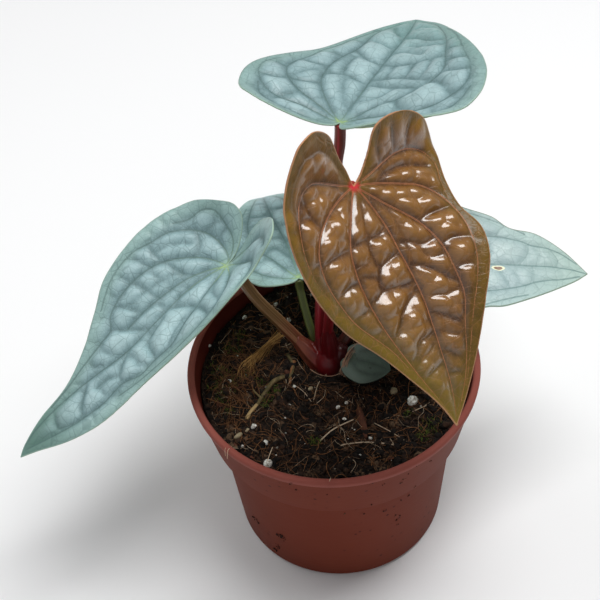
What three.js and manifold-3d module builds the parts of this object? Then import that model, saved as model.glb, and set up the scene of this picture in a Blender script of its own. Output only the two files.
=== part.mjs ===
// A potted anthurium luxurians: a young aroid with quilted heart-shaped leaves
// in a round plastic nursery pot. Millimetres, +Z up. The origin is the centre
// of the pot's underside, and -Y is the front.

import * as THREE from "three";
import { mergeVertices } from "three/addons/utils/BufferGeometryUtils.js";
import Module from "manifold-3d";

const wasm = await Module();
wasm.setup();

// Driving dimensions

const GAP = 0.3; // clearance between neighbouring solids

// Pot: radii and heights of the outer and the inner wall, from the floor up.
const POT_HEIGHT = 91.4;
const RIM_RADIUS = 60.2;
const COLLAR_BOTTOM = 64.2; // the deep collar starts here
const POT_OUTER = [
  [44.0, 0], [45.5, 1.8], [50.4, 62.6], [54.4, COLLAR_BOTTOM],
  [59.0, 88.2], [60.0, 88.6], [RIM_RADIUS, 90.6], [59.6, POT_HEIGHT],
];
const POT_INNER = [
  [57.9, POT_HEIGHT], [57.2, 90.7], [52.9, 65.0], [49.1, 63.3], [44.2, 3.4], [43.2, 2.4],
];
const POT_SIDES = 56;
const DRAIN_COUNT = 8;
const DRAIN_RADIUS = 3.6;
const DRAIN_RING = 36;

// Soil: mean level of its lumpy top, and the pot's inner wall less a clearance.
const SOIL_LEVEL = 83;
const SOIL_WALL = [[42.7, 2.8], [43.7, 3.6], [48.6, 63.5], [52.4, 65.3]];
const SOIL_TOP_RADIUS = 55.4;
const SOIL_SIDES = 42;
const SOIL_RINGS = 12;

// Crown: where all the leaf stalks start, in the soil, and the fleshy core that
// their clasping bases stand round.
const CROWN = [-3, 8.5, 79];
const SHEATH_RADIUS = 4.8;
const CORE_CENTRE = [-2, 5.8, 86];
const CORE_RADII = [7.8, 7.2, 8.5];
const ROOTSTOCK_TOP = 78.6;
const ROOT_COUNT = 6;

// Blades: thickness, and the veins of each half. A vein leaves the midrib at a
// share of its length and meets the margin at a share of that. Arching veins run
// round the half at these shares of the way from the midrib to the margin.
const BLADE_THICKNESS = 0.9;
const VEIN_START = [0, 0, 0, 0, 0, 0.14, 0.3, 0.47, 0.64, 0.82, 1];
const VEIN_END = [0.16, 0.25, 0.36, 0.47, 0.57, 0.66, 0.745, 0.825, 0.9, 0.96, 1];
const ARCHES = [0, 0.267, 0.533, 0.8, 1];

// Leaves. at: where the stalk meets the blade. heading, pitch and roll: degrees,
// the way the midrib points, its rise, and the rise of the plus half. cup: how far
// each half folds up, at the base and at the tip. lift: upturn of the two lobes.
// plus and minus: the margin of each half in the blade's own plane, from the
// stalk round the lobe to the tip; x is across the midrib, y along it. drawn: how
// large the leaf is against that margin.
const LEAVES = {
  top: {
    at: [9.8, 48.1, 177.1], heading: 63, pitch: -3, roll: 5, length: 109, drawn: 1.07,
    droop: 0.18, curl: 0, bend: -0.09, puff: 1.7,
    cupPlus: [0.37, 0.5], cupMinus: [0.43, 0.05], lift: [0.7, 0.78],
    plus: [
      [0, 0], [2, -5], [7, -10], [15, -14], [26, -15], [37, -12], [46, -5], [51, 6],
      [50, 18], [46, 29], [39, 42], [31, 56], [22, 72], [12, 90], [3, 101], [0, 102],
    ],
    minus: [
      [0, 0], [-2, -4], [-8, -10], [-16, -14], [-25, -14], [-32, -10], [-38, -2], [-40, 10],
      [-38, 22], [-33, 34], [-26, 46], [-19, 64], [-12, 80], [-5, 94], [0, 102],
    ],
  },
  bronze: {
    at: [10.1, -12.7, 198.9], heading: -60.4, pitch: -39, roll: 12.8, length: 91, drawn: 0.92,
    droop: 0.16, curl: 0, bend: -0.04, puff: 2.0,
    cupPlus: [0.38, -0.22], cupMinus: [-0.15, 0.6], lift: [0.92, 0.87],
    plus: [
      [0, 0], [2, -6], [6, -11], [12, -18], [20, -21], [28, -21], [35, -14], [41, -3],
      [44, 11], [40, 28], [31, 46], [20, 61], [12, 75], [5, 88], [1, 99],
    ],
    minus: [
      [0, 0], [-5, -3], [-10, -9], [-14, -16], [-23, -18], [-34, -17], [-45, -11], [-47, 0],
      [-41, 13], [-38, 24], [-39, 35], [-35, 46], [-26, 60], [-15, 79], [-6, 92], [1, 99],
    ],
  },
  left: {
    at: [-39.4, 22.9, 129.5], heading: 212, pitch: -17, roll: 0, length: 112, drawn: 1,
    droop: 0.155, curl: 0, bend: 0.047, puff: 1.7,
    cupPlus: [0.42, 0.4], cupMinus: [1.1, 0], lift: [0.6, 0.72],
    plus: [
      [0, 0], [1, -7], [6, -16], [12, -18], [19, -15], [27, -9], [32, 0], [34, 12],
      [33, 26], [29, 41], [22, 52], [14, 65], [8, 80], [6, 96], [3, 107], [0, 112],
    ],
    minus: [
      [0, 0], [-1, -7], [-1, -14], [-4, -20], [-12, -22], [-21, -21], [-28, -15], [-29, -5],
      [-31, 8], [-28, 22], [-23, 38], [-19, 55], [-17, 77], [-12, 92], [-4, 105], [0, 112],
    ],
  },
  back_left: {
    at: [-11.2, 27.1, 114.2], heading: 101, pitch: 2, roll: 0, length: 84, drawn: 1,
    droop: 0.27, curl: 0.9, bend: 0.02, puff: 1.4,
    cupPlus: [0.15, 0.1], cupMinus: [0.15, 0.1], lift: [1.3, 1.3],
    plus: [
      [0, 0], [3, -3], [8, -4.5], [17, -5], [25, -3], [30, 4], [31, 13], [28, 26],
      [22, 41], [14, 56], [6, 72], [0, 84],
    ],
    minus: [
      [0, 0], [-3, -2.4], [-8, -3.8], [-14, -2.6], [-21, 2.6], [-27, 10], [-30, 18], [-29, 29],
      [-23, 42], [-14, 56], [-6, 72], [0, 84],
    ],
  },
  right: {
    at: [27.1, 20.8, 121], heading: 4, pitch: -3, roll: -12.4, length: 82, drawn: 1,
    droop: 0.125, curl: 0, bend: 0.06, puff: 1.4,
    cupPlus: [0.13, 0.12], cupMinus: [0.12, 0.16], lift: [0.5, 0.5],
    plus: [
      [0, 0], [4, -9], [11, -17], [20, -19], [29, -13], [34, -2], [33, 11], [28, 23],
      [21, 33], [20, 42], [16, 53], [11, 64], [5, 75], [0, 82],
    ],
    minus: [
      [0, 0], [-4, -9], [-11, -17], [-20, -19], [-29, -13], [-35, -2], [-36, 11], [-32, 24],
      [-27, 34], [-23, 45], [-18, 52], [-16, 63], [-9, 74], [0, 82],
    ],
  },
  small: {
    at: [7.5, 1.5, 91.5], heading: -22, pitch: -5, roll: -3, length: 17, drawn: 1,
    droop: 0.08, curl: 0, bend: 0, puff: 0.2,
    cupPlus: [0.1, 0.1], cupMinus: [0.1, 0.1], lift: [0.4, 0.4],
    plus: [
      [0, 0], [2, -2.6], [5.5, -3], [9, -0.5], [11, 3], [11.6, 7.6], [8.3, 12.2],
      [4.2, 15.2], [0, 17],
    ],
    minus: [
      [0, 0], [-2, -2.2], [-5, -2], [-7.6, 1], [-9, 5], [-8, 10], [-4.5, 14.4], [0, 17],
    ],
  },
};

// Stalks, from the crown to the blade. sheath: how far along the stalk its
// clasping base, which is part of the crown, reaches.
const STALKS = {
  top: {
    through: [[-3.8, 10.5, 86], [-4, 12.8, 102], [0.5, 24, 134], [7.5, 40, 161]],
    radius: [2.4, 1.7], swell: 0.5, sheath: 0.17,
  },
  bronze: {
    through: [[-1.4, 8, 86], [-1.1, 8.2, 102], [3, 3, 140], [7, -5, 174]],
    radius: [2.3, 1.6], swell: 0.5, sheath: 0.2,
  },
  left: {
    through: [[-7.5, 9.5, 85.5], [-12.5, 12.2, 91], [-20.5, 15.4, 101.5], [-29.3, 18.9, 113.5]],
    radius: [3.1, 2.1], swell: 0.6, sheath: 0.32,
  },
  back_left: {
    through: [[-5.5, 13.3, 86], [-8, 17.4, 94]],
    radius: [1.9, 1.6], swell: 0.2, sheath: 0.22,
  },
  right: {
    through: [[1.5, 9.5, 85], [6.5, 12.5, 92], [15, 16.5, 104]],
    radius: [2.9, 1.8], swell: 0.5, sheath: 0.27,
  },
  small: {
    through: [[1, 5.5, 85], [4.4, 3.2, 88.4]],
    radius: [1.2, 0.9], swell: 0.1, sheath: 0.5,
  },
};

const LOOKS = {
  pot: [0x5d3028, 0.5],
  soil: [0x2b211b, 0.95],
  rootstock: [0x8a6a4a, 0.8],
  crown: [0x6a0f18, 0.35],
  stalk_top: [0x8c1f2b, 0.35],
  stalk_bronze: [0x9a2230, 0.35],
  stalk_left: [0x6f4a2c, 0.4],
  stalk_back_left: [0x5c5c2e, 0.45],
  stalk_right: [0x5a1a1c, 0.4],
  stalk_small: [0x5c5c2e, 0.5],
  leaf_top: [0x82a0a5, 0.5],
  leaf_bronze: [0x6e4b1e, 0.25],
  leaf_left: [0x7fa09f, 0.5],
  leaf_back_left: [0x7698a2, 0.5],
  leaf_right: [0x8fb0b4, 0.5],
  leaf_small: [0x46594f, 0.6],
};

// Plain helpers

const part = new THREE.Group();
part.name = "potted_anthurium";

function mix(a, b, share) {
  return a + (b - a) * share;
}

function smoothStep(t) {
  const c = Math.min(1, Math.max(0, t));
  return c * c * (3 - 2 * c);
}

// A repeatable random number for a whole-number pair.
function scatter(i, j) {
  const s = Math.sin(i * 127.1 + j * 311.7 + 17.3) * 43758.5453;
  return s - Math.floor(s);
}

// Smooth bumps of about `size` across, from -1 to 1.
function bumps(x, y, size) {
  const i = Math.floor(x / size);
  const j = Math.floor(y / size);
  const u = smoothStep(x / size - i);
  const v = smoothStep(y / size - j);
  const low = mix(scatter(i, j), scatter(i + 1, j), u);
  const high = mix(scatter(i, j + 1), scatter(i + 1, j + 1), u);
  return 2 * mix(low, high, v) - 1;
}

function geometryOf(points, faces) {
  const geometry = new THREE.BufferGeometry();
  geometry.setAttribute("position", new THREE.Float32BufferAttribute(points.flat(), 3));
  geometry.setIndex(faces.flat());
  return geometry;
}

// Joins a three.js geometry's seams and drops its empty triangles.
function closed(geometry) {
  geometry.deleteAttribute("normal");
  geometry.deleteAttribute("uv");
  const merged = mergeVertices(geometry, 1e-3);
  const index = merged.index.array;
  const kept = [];
  for (let k = 0; k < index.length; k += 3) {
    const [a, b, c] = [index[k], index[k + 1], index[k + 2]];
    if (a !== b && b !== c && c !== a) kept.push(a, b, c);
  }
  merged.setIndex(kept);
  return merged;
}

function toSolid(geometry) {
  return new wasm.Manifold(new wasm.Mesh({
    numProp: 3,
    vertProperties: new Float32Array(geometry.attributes.position.array),
    triVerts: new Uint32Array(geometry.index.array),
  }));
}

function fromSolid(solid) {
  const mesh = solid.getMesh();
  const geometry = new THREE.BufferGeometry();
  geometry.setAttribute("position", new THREE.BufferAttribute(mesh.vertProperties, 3));
  geometry.setIndex(new THREE.BufferAttribute(mesh.triVerts, 1));
  return geometry;
}

function largestPiece(solid) {
  const pieces = solid.decompose();
  return pieces.reduce((best, piece) => (piece.volume() > best.volume() ? piece : best));
}

function addPart(name, geometry) {
  const [color, roughness] = LOOKS[name];
  const material = new THREE.MeshStandardMaterial({ color, roughness, metalness: 0 });
  const mesh = new THREE.Mesh(geometry, material);
  mesh.name = name;
  part.add(mesh);
}

// A round bar along a curve, with flat ends. radiusAt gives its radius.
function taperedBar(curve, from, to, rings, sides, radiusAt) {
  const points = [];
  const faces = [];
  const frames = curve.computeFrenetFrames(200, false);
  for (let i = 0; i <= rings; i += 1) {
    const s = mix(from, to, i / rings);
    const centre = curve.getPointAt(s);
    const k = Math.round(s * 200);
    for (let j = 0; j < sides; j += 1) {
      const angle = (2 * Math.PI * j) / sides;
      const out = frames.normals[k].clone().multiplyScalar(Math.cos(angle) * radiusAt(s));
      out.addScaledVector(frames.binormals[k], Math.sin(angle) * radiusAt(s));
      points.push(centre.clone().add(out).toArray());
    }
  }
  const first = points.push(curve.getPointAt(from).toArray()) - 1;
  const last = points.push(curve.getPointAt(to).toArray()) - 1;
  for (let j = 0; j < sides; j += 1) {
    const next = (j + 1) % sides;
    for (let i = 0; i < rings; i += 1) {
      const a = i * sides;
      faces.push([a + j, a + next, a + sides + next], [a + j, a + sides + next, a + sides + j]);
    }
    faces.push([first, next, j], [last, rings * sides + j, rings * sides + next]);
  }
  return toSolid(geometryOf(points, faces));
}

// The pot

function makePot() {
  const outline = [[0, 0], ...POT_OUTER, ...POT_INNER, [0, 2.4]];
  const profile = outline.map(([r, z]) => new THREE.Vector2(r, z));
  const lathe = closed(new THREE.LatheGeometry(profile, POT_SIDES));
  lathe.rotateX(Math.PI / 2);
  let pot = toSolid(lathe);
  for (let k = 0; k < DRAIN_COUNT; k += 1) {
    const angle = (2 * Math.PI * (k + 0.5)) / DRAIN_COUNT;
    const drain = new THREE.CylinderGeometry(DRAIN_RADIUS, DRAIN_RADIUS, 10, 8);
    drain.rotateX(Math.PI / 2);
    drain.translate(DRAIN_RING * Math.cos(angle), DRAIN_RING * Math.sin(angle), 0);
    pot = pot.subtract(toSolid(closed(drain)));
  }
  return pot;
}

// The leaves

// The leaf's own axes: across the midrib, along it, and out of its face.
function axesOf(leaf) {
  const turn = THREE.MathUtils.degToRad(leaf.heading);
  const rise = THREE.MathUtils.degToRad(leaf.pitch);
  const roll = THREE.MathUtils.degToRad(leaf.roll);
  const along = new THREE.Vector3(
    Math.cos(rise) * Math.cos(turn), Math.cos(rise) * Math.sin(turn), Math.sin(rise));
  const level = new THREE.Vector3(Math.sin(turn), -Math.cos(turn), 0);
  const up = new THREE.Vector3().crossVectors(level, along);
  const across = level.clone().multiplyScalar(Math.cos(roll));
  across.addScaledVector(up, Math.sin(roll));
  const out = up.multiplyScalar(Math.cos(roll)).addScaledVector(level, -Math.sin(roll));
  return { across, along, out };
}

// How far the blade stands off its plane at x, y: droop, tip curl, cup and lobes.
function standOff(leaf, x, y) {
  const size = leaf.length;
  const t = Math.abs(x) / (0.42 * size);
  const change = smoothStep((y / size + 0.1) / 0.8);
  const cup = x > 0 ? leaf.cupPlus : leaf.cupMinus;
  const fold = mix(cup[0], cup[1], change) * (Math.sqrt(t * t + 0.03) - Math.sqrt(0.03));
  const back = Math.max(-y / size, 0);
  const lobe = 2 * (x > 0 ? leaf.lift[0] : leaf.lift[1]) * back ** 1.5;
  const front = Math.max(y / size, 0);
  const fall = leaf.droop * front ** 2 + leaf.curl * Math.max(front - 0.6, 0) ** 2;
  return size * (0.42 * fold + lobe - fall);
}

function listAt(list, u) {
  const k = Math.min(Math.floor(u), list.length - 2);
  return mix(list[k], list[k + 1], u - k);
}

// A point of one half of the blade in its plane: u counts veins from the notch
// to the tip, v runs from the midrib to the margin.
function inPlane(leaf, margin, side, u, v) {
  const start = new THREE.Vector2(0, listAt(VEIN_START, u) * leaf.length);
  const end = margin.getPointAt(listAt(VEIN_END, u));
  const chord = end.clone().sub(start);
  const bow = 0.13 * smoothStep((u - 1) / 4);
  const middle = start.clone().addScaledVector(chord, 0.5);
  middle.add(new THREE.Vector2(chord.y * side, -chord.x * side).multiplyScalar(bow));
  const point = start.clone().multiplyScalar((1 - v) ** 2);
  point.addScaledVector(middle, 2 * v * (1 - v)).addScaledVector(end, v * v);
  if (u >= 1) return point;
  const notch = margin.getPointAt(VEIN_END[0] * v);
  return notch.lerp(point, u);
}

// The quilting: a pillow in each mesh of the net of veins. The cross veins of
// every second arch stand half a step off, and the marginal meshes are flatter.
function pillow(leaf, u, v, width) {
  const arch = Math.min(ARCHES.findIndex((share) => v < share + 1e-6), 4) - 1;
  if (arch < 0) return 0;
  const between = (v - ARCHES[arch]) / (ARCHES[arch + 1] - ARCHES[arch]);
  const step = arch === 1 ? u + 0.5 : u;
  const height = (Math.sin(Math.PI * between) * Math.abs(Math.sin(Math.PI * step))) ** 0.7;
  return leaf.puff * height * Math.min(1, width / 9) * (arch === 3 ? 0.4 : 1);
}

// A closed blade of the given thickness. Both faces have the same triangles.
function makeBlade(leaf, thickness) {
  const { across, along, out } = axesOf(leaf);
  const bands = VEIN_START.length - 1;
  const perMesh = leaf.puff > 0.5 ? 2 : 1; // rows and columns in each mesh
  const rows = bands * perMesh;
  const columns = (ARCHES.length - 1) * perMesh;
  const middle = [];
  const known = new Map();
  const faces = [];

  function vertex(side, i, j) {
    const u = i / perMesh;
    const start = listAt(VEIN_START, u);
    const onMidrib = j === 0 || start === 1;
    const key = onMidrib ? `midrib ${start}` : `${side} ${i} ${j}`;
    if (known.has(key)) return known.get(key);
    const margin = margins[side > 0 ? "plus" : "minus"];
    const v = onMidrib ? 0 : listAt(ARCHES, j / perMesh);
    const flat = inPlane(leaf, margin, side, u, v);
    const low = Math.floor(Math.min(u, bands - 0.01));
    const gap = inPlane(leaf, margin, side, low, v).distanceTo(
      inPlane(leaf, margin, side, low + 1, v));
    const reach = inPlane(leaf, margin, side, u, 1).distanceTo(
      inPlane(leaf, margin, side, u, 0));
    const raise = onMidrib ? 0 : pillow(leaf, u, v, Math.min(gap, 0.3 * reach));
    const bent = flat.x + (leaf.bend * Math.max(flat.y, 0) ** 2) / leaf.length;
    const point = new THREE.Vector3(...leaf.at);
    point.addScaledVector(across, bent).addScaledVector(along, flat.y);
    point.addScaledVector(out, standOff(leaf, flat.x, flat.y) + raise);
    known.set(key, middle.push(point) - 1);
    return known.get(key);
  }

  const margins = {};
  for (const name of ["plus", "minus"]) {
    const places = leaf[name].map(([x, y]) => new THREE.Vector2(x, y).multiplyScalar(leaf.drawn));
    margins[name] = new THREE.SplineCurve(places);
  }
  const border = { 1: [], [-1]: [] };
  for (const side of [1, -1]) {
    for (let i = 0; i < rows; i += 1) {
      for (let j = 0; j < columns; j += 1) {
        const corner = [
          vertex(side, i, j), vertex(side, i, j + 1),
          vertex(side, i + 1, j + 1), vertex(side, i + 1, j),
        ];
        const pairs = [[0, 1, 2], [0, 2, 3]];
        for (const pair of pairs) {
          const [a, b, c] = pair.map((k) => corner[k]);
          if (a !== b && b !== c && c !== a) faces.push(side > 0 ? [a, b, c] : [a, c, b]);
        }
      }
    }
    for (let j = 0; j <= columns; j += 1) border[side].push(vertex(side, 0, j));
    for (let i = 1; i <= rows; i += 1) border[side].push(vertex(side, i, columns));
  }

  const normals = middle.map(() => new THREE.Vector3());
  for (const [a, b, c] of faces) {
    const ab = middle[b].clone().sub(middle[a]);
    const face = ab.cross(middle[c].clone().sub(middle[a]));
    for (const k of [a, b, c]) normals[k].add(face);
  }
  const count = middle.length;
  const points = [];
  for (const sign of [1, -1]) {
    middle.forEach((point, k) => {
      const normal = normals[k].clone().normalize();
      points.push(point.clone().addScaledVector(normal, (sign * thickness) / 2).toArray());
    });
  }
  const all = faces.concat(faces.map(([a, b, c]) => [a + count, c + count, b + count]));
  const loop = border[1].concat(border[-1].slice(1, -1).reverse());
  loop.forEach((a, k) => {
    const b = loop[(k + 1) % loop.length];
    all.push([b, a, a + count], [b, a + count, b + count]);
  });
  return toSolid(geometryOf(points, all));
}

// The stalks and the crown

function stalkCurve(name) {
  const { along, out } = axesOf(LEAVES[name]);
  const end = new THREE.Vector3(...LEAVES[name].at);
  end.addScaledVector(out, -BLADE_THICKNESS / 2 - GAP);
  const reach = LEAVES[name].length * 0.05;
  const below = end.clone().addScaledVector(out, -reach).addScaledVector(along, -0.3 * reach);
  const through = STALKS[name].through.map((p) => new THREE.Vector3(...p));
  return new THREE.CatmullRomCurve3([new THREE.Vector3(...CROWN), ...through, below, end]);
}

function stalkRadius(name, s) {
  const { radius, swell } = STALKS[name];
  return mix(radius[0], radius[1], s) + swell * smoothStep((s - 0.86) / 0.07);
}

function sheathRadius(name, s) {
  const share = Math.min(1, s / STALKS[name].sheath);
  return mix(SHEATH_RADIUS, stalkRadius(name, s) + 0.5, share ** 0.7);
}

// What is left of the stalk's bar outside the blade and the crown, each given
// with its clearance.
function makeStalk(name, blade, crown) {
  const curve = stalkCurve(name);
  const start = STALKS[name].sheath + GAP / curve.getLength();
  const rings = name === "small" ? 5 : 11;
  const bar = taperedBar(curve, start, 1, rings, 8, (s) => stalkRadius(name, s));
  return largestPiece(bar.subtract(blade).subtract(crown));
}

// The crown is every sheath joined round one short core. `extra` makes the
// larger copy that cuts its hole in the soil.
function makeCrown(extra) {
  const core = new THREE.SphereGeometry(1, 16, 10);
  core.rotateX(Math.PI / 2);
  core.scale(...CORE_RADII.map((radius) => radius + extra));
  core.translate(...CORE_CENTRE);
  let crown = toSolid(closed(core));
  for (const name of Object.keys(STALKS)) {
    const reach = STALKS[name].sheath;
    const sheath = taperedBar(stalkCurve(name), 0, reach, 4, 8,
      (s) => sheathRadius(name, s) + extra);
    crown = crown.add(sheath);
  }
  return crown;
}

// The rootstock and the soil

function makeRootstock(extra) {
  const top = ROOTSTOCK_TOP + extra;
  const radius = 6 + extra;
  const profile = [
    [0, 47 - extra], [0.45 * radius, 48 - extra], [0.8 * radius, 53],
    [radius, 62], [0.9 * radius, 70], [radius, top - 2], [0.85 * radius, top], [0, top],
  ].map(([r, z]) => new THREE.Vector2(r, z));
  const lathe = closed(new THREE.LatheGeometry(profile, 12));
  lathe.rotateX(Math.PI / 2);
  lathe.translate(CROWN[0], CROWN[1], 0);
  let stock = toSolid(lathe);
  for (let k = 0; k < ROOT_COUNT; k += 1) {
    const angle = (2 * Math.PI * (k + 0.35 * scatter(k, 1))) / ROOT_COUNT;
    const high = 56 + 12 * scatter(k, 2);
    const dive = 18 + 16 * scatter(k, 3);
    const away = 22 + 9 * scatter(k, 4);
    const at = (reach, z, turn) => new THREE.Vector3(
      CROWN[0] + reach * Math.cos(angle + turn), CROWN[1] + reach * Math.sin(angle + turn), z);
    const curve = new THREE.CatmullRomCurve3([
      at(2, high, 0), at(12, high - 3, 0.1), at(away, high - dive * 0.5, 0.3),
      at(away + 4, high - dive, 0.5),
    ]);
    stock = stock.add(taperedBar(curve, 0, 1, 5, 5, (s) => mix(1.9, 0.9, s) + extra));
  }
  return stock;
}

function soilHeight(x, y) {
  const lumps = 1.1 * bumps(x, y, 11) + 0.8 * bumps(x + 40, y - 25, 5.5);
  const mound = 1.6 * Math.exp(-((x - CROWN[0]) ** 2 + (y - CROWN[1]) ** 2) / 500);
  return SOIL_LEVEL + lumps + mound - 0.012 * (x + 20);
}

function makeSoil() {
  const points = [[0, 0, soilHeight(0, 0)]];
  const faces = [];
  const ringAt = (radius, height) => {
    const start = points.length;
    for (let j = 0; j < SOIL_SIDES; j += 1) {
      const angle = (2 * Math.PI * j) / SOIL_SIDES;
      const [x, y] = [radius * Math.cos(angle), radius * Math.sin(angle)];
      points.push([x, y, height(x, y)]);
    }
    return start;
  };
  const rings = [];
  for (let i = 1; i <= SOIL_RINGS; i += 1) {
    rings.push(ringAt((SOIL_TOP_RADIUS * i) / SOIL_RINGS, soilHeight));
  }
  for (const [radius, z] of [...SOIL_WALL].reverse()) {
    rings.push(ringAt(radius, () => z));
  }
  const floor = points.push([0, 0, SOIL_WALL[0][1]]) - 1;
  for (let j = 0; j < SOIL_SIDES; j += 1) {
    const next = (j + 1) % SOIL_SIDES;
    faces.push([0, rings[0] + j, rings[0] + next]);
    for (let i = 0; i < rings.length - 1; i += 1) {
      const [a, b] = [rings[i], rings[i + 1]];
      faces.push([a + j, b + j, b + next], [a + j, b + next, a + next]);
    }
    const low = rings[rings.length - 1];
    faces.push([floor, low + next, low + j]);
  }
  const soil = toSolid(geometryOf(points, faces));
  return largestPiece(soil.subtract(makeCrown(GAP + 0.1)).subtract(makeRootstock(GAP + 0.1)));
}

// The whole plant

const clearCrown = makeCrown(GAP);
addPart("pot", fromSolid(makePot()));
addPart("soil", fromSolid(makeSoil()));
addPart("rootstock", fromSolid(makeRootstock(0).subtract(clearCrown)));
addPart("crown", fromSolid(makeCrown(0)));
for (const name of Object.keys(LEAVES)) {
  addPart(`leaf_${name}`, fromSolid(makeBlade(LEAVES[name], BLADE_THICKNESS)));
  const clearBlade = makeBlade(LEAVES[name], BLADE_THICKNESS + 2 * GAP);
  addPart(`stalk_${name}`, fromSolid(makeStalk(name, clearBlade, clearCrown)));
}

export default part;
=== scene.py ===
# %% [markdown]
# # A potted anthurium luxurians
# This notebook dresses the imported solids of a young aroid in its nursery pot. The solids
# give the size and the place of every piece. Blender adds what hands and eyes notice: the
# quilted leaf surface, fine veins, glossy sheaths, crumbly peat and worn plastic.
# Everything is in metres, with the pot's underside at the origin and the front at -Y.

# %% Load the frame
import math
import random

import bmesh
import bpy
import numpy as np
from mathutils import Matrix, Vector


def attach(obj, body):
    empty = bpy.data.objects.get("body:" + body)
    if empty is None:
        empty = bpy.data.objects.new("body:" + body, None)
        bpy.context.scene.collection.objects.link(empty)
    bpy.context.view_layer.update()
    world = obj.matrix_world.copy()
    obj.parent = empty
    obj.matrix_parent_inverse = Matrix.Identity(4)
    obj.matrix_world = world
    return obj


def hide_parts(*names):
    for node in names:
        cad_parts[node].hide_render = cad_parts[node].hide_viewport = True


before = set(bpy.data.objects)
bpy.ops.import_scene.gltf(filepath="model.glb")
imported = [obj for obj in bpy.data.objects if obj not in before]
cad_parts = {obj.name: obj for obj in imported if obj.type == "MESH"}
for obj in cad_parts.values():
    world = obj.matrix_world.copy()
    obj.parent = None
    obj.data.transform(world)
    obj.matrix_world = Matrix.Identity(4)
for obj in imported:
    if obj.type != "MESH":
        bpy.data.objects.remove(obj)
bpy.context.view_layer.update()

MM = 0.001
scene = bpy.context.scene
print("frame:", sorted(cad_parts))

# %% [markdown]
# ## Camera
# The photograph was taken from above at about 47 degrees, close to the plant, and tilted a
# little. The camera is built from those angles, so the picture can be compared directly.
# It could also be placed by hand, but numbers are easier to correct.

# %% Camera
VIEW_RISE = math.radians(47.1)
VIEW_TILT = math.radians(-4.8)
VIEW_TARGET = Vector((-11.4, 0, 130.4)) * MM
VIEW_DISTANCE = 0.5
FOCAL_PIXELS, PICTURE_PIXELS, SENSOR_MM = 1288, 600, 36
back = Vector((0, -math.cos(VIEW_RISE), math.sin(VIEW_RISE)))
right = Vector((1, 0, 0))
up = right.cross(-back)
tilted_right = right * math.cos(VIEW_TILT) + up * math.sin(VIEW_TILT)
tilted_up = up * math.cos(VIEW_TILT) - right * math.sin(VIEW_TILT)
camera = bpy.data.objects.new("camera", bpy.data.cameras.new("camera"))
scene.collection.objects.link(camera)
place = Matrix((tilted_right, tilted_up, back)).transposed().to_4x4()
place.translation = VIEW_TARGET + back * VIEW_DISTANCE
camera.matrix_world = place
camera.data.sensor_width = SENSOR_MM
camera.data.lens = SENSOR_MM * FOCAL_PIXELS / PICTURE_PIXELS
scene.camera = camera
print("camera at", [round(v, 3) for v in place.translation])

# %% [markdown]
# ## Light
# A long soft panel hangs overhead, a little to the right. The glossy leaf is tilted, so
# from there each of its pillows shines on the flank that faces the stalk. A weaker window
# stands at the left, and a wide dim fill in front opens the shadows. One strong lamp would
# be simpler, but dark leaves and dark plastic would turn hazy under it.

# %% Soft windows and sky
LAMP_AIM = Vector((0, 0, 0.12))


def soft_window(name, direction, distance, size, power):
    lamp = bpy.data.lights.new(name, "AREA")
    lamp.shape = "RECTANGLE"
    lamp.size, lamp.size_y = size
    lamp.energy = power
    obj = bpy.data.objects.new(name, lamp)
    aim = Vector(direction).normalized()
    obj.rotation_mode = "QUATERNION"
    obj.rotation_quaternion = aim.to_track_quat("Z", "Y")
    obj.location = LAMP_AIM + aim * distance
    scene.collection.objects.link(obj)


soft_window("top_panel", (0.26, 0.12, 1.0), 1.1, (0.46, 0.9), 12.5)
soft_window("left_window", (-0.8, 0.4, 0.8), 1.3, (0.9, 0.7), 4)
soft_window("front_fill", (-0.2, -1.0, 0.6), 1.8, (2.4, 1.8), 4)
sky = bpy.data.worlds.new("studio")
sky.use_nodes = True
sky.node_tree.nodes["Background"].inputs["Color"].default_value = (0.95, 0.97, 1.0, 1)
sky.node_tree.nodes["Background"].inputs["Strength"].default_value = 0.22
scene.world = sky
scene.view_settings.view_transform = "Standard"

# %% [markdown]
# ## Small tools
# A material is a graph of nodes, so one helper adds a node and wires it, and a few more
# cover what is used again and again: mixing two colours, a tint laid over a part, a bump.
# Colours are written as in the picture, 0 to 255, and turned into the linear values that
# the shader works with. The lamps are dim, and LIGHT_SHARE makes up for that in each colour.

# %% Material helpers
LIGHT_SHARE = 1.45


def tone(r, g, b):
    linear = []
    for value in (r, g, b):
        c = value / 255
        c = c / 12.92 if c <= 0.04045 else ((c + 0.055) / 1.055) ** 2.4
        linear.append(min(LIGHT_SHARE * c, 0.9))
    return (*linear, 1.0)


def new_material(name, **finish):
    material = bpy.data.materials.new(name)
    material.use_nodes = True
    shader = material.node_tree.nodes["Principled BSDF"]
    shader.inputs["Specular IOR Level"].default_value = 0.2
    for socket, value in finish.items():
        shader.inputs[socket.replace("_", " ")].default_value = value
    return material, shader


def add(material, kind, inputs=None, **settings):
    node = material.node_tree.nodes.new("ShaderNode" + kind)
    for key, value in settings.items():
        setattr(node, key, value)
    for key, value in (inputs or {}).items():
        if isinstance(value, bpy.types.NodeSocket):
            material.node_tree.links.new(value, node.inputs[key])
        else:
            node.inputs[key].default_value = value
    return node


def join(material, source, target):
    material.node_tree.links.new(source, target)


def blend(material, share, first, second, mode="MIX"):
    node = add(material, "Mix", {0: share, 6: first, 7: second}, data_type="RGBA", blend_type=mode)
    return node.outputs[2]


def between(material, value, low, high):
    """0 where the value is at low or before it, 1 from high on, smooth between them."""
    node = add(material, "MapRange", {"Value": value, "From Min": low, "From Max": high},
               interpolation_type="SMOOTHSTEP")
    return node.outputs["Result"]


def combine(material, how, first, second):
    return add(material, "Math", {0: first, 1: second}, operation=how).outputs[0]


def times(material, first, second):
    return combine(material, "MULTIPLY", first, second)


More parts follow.
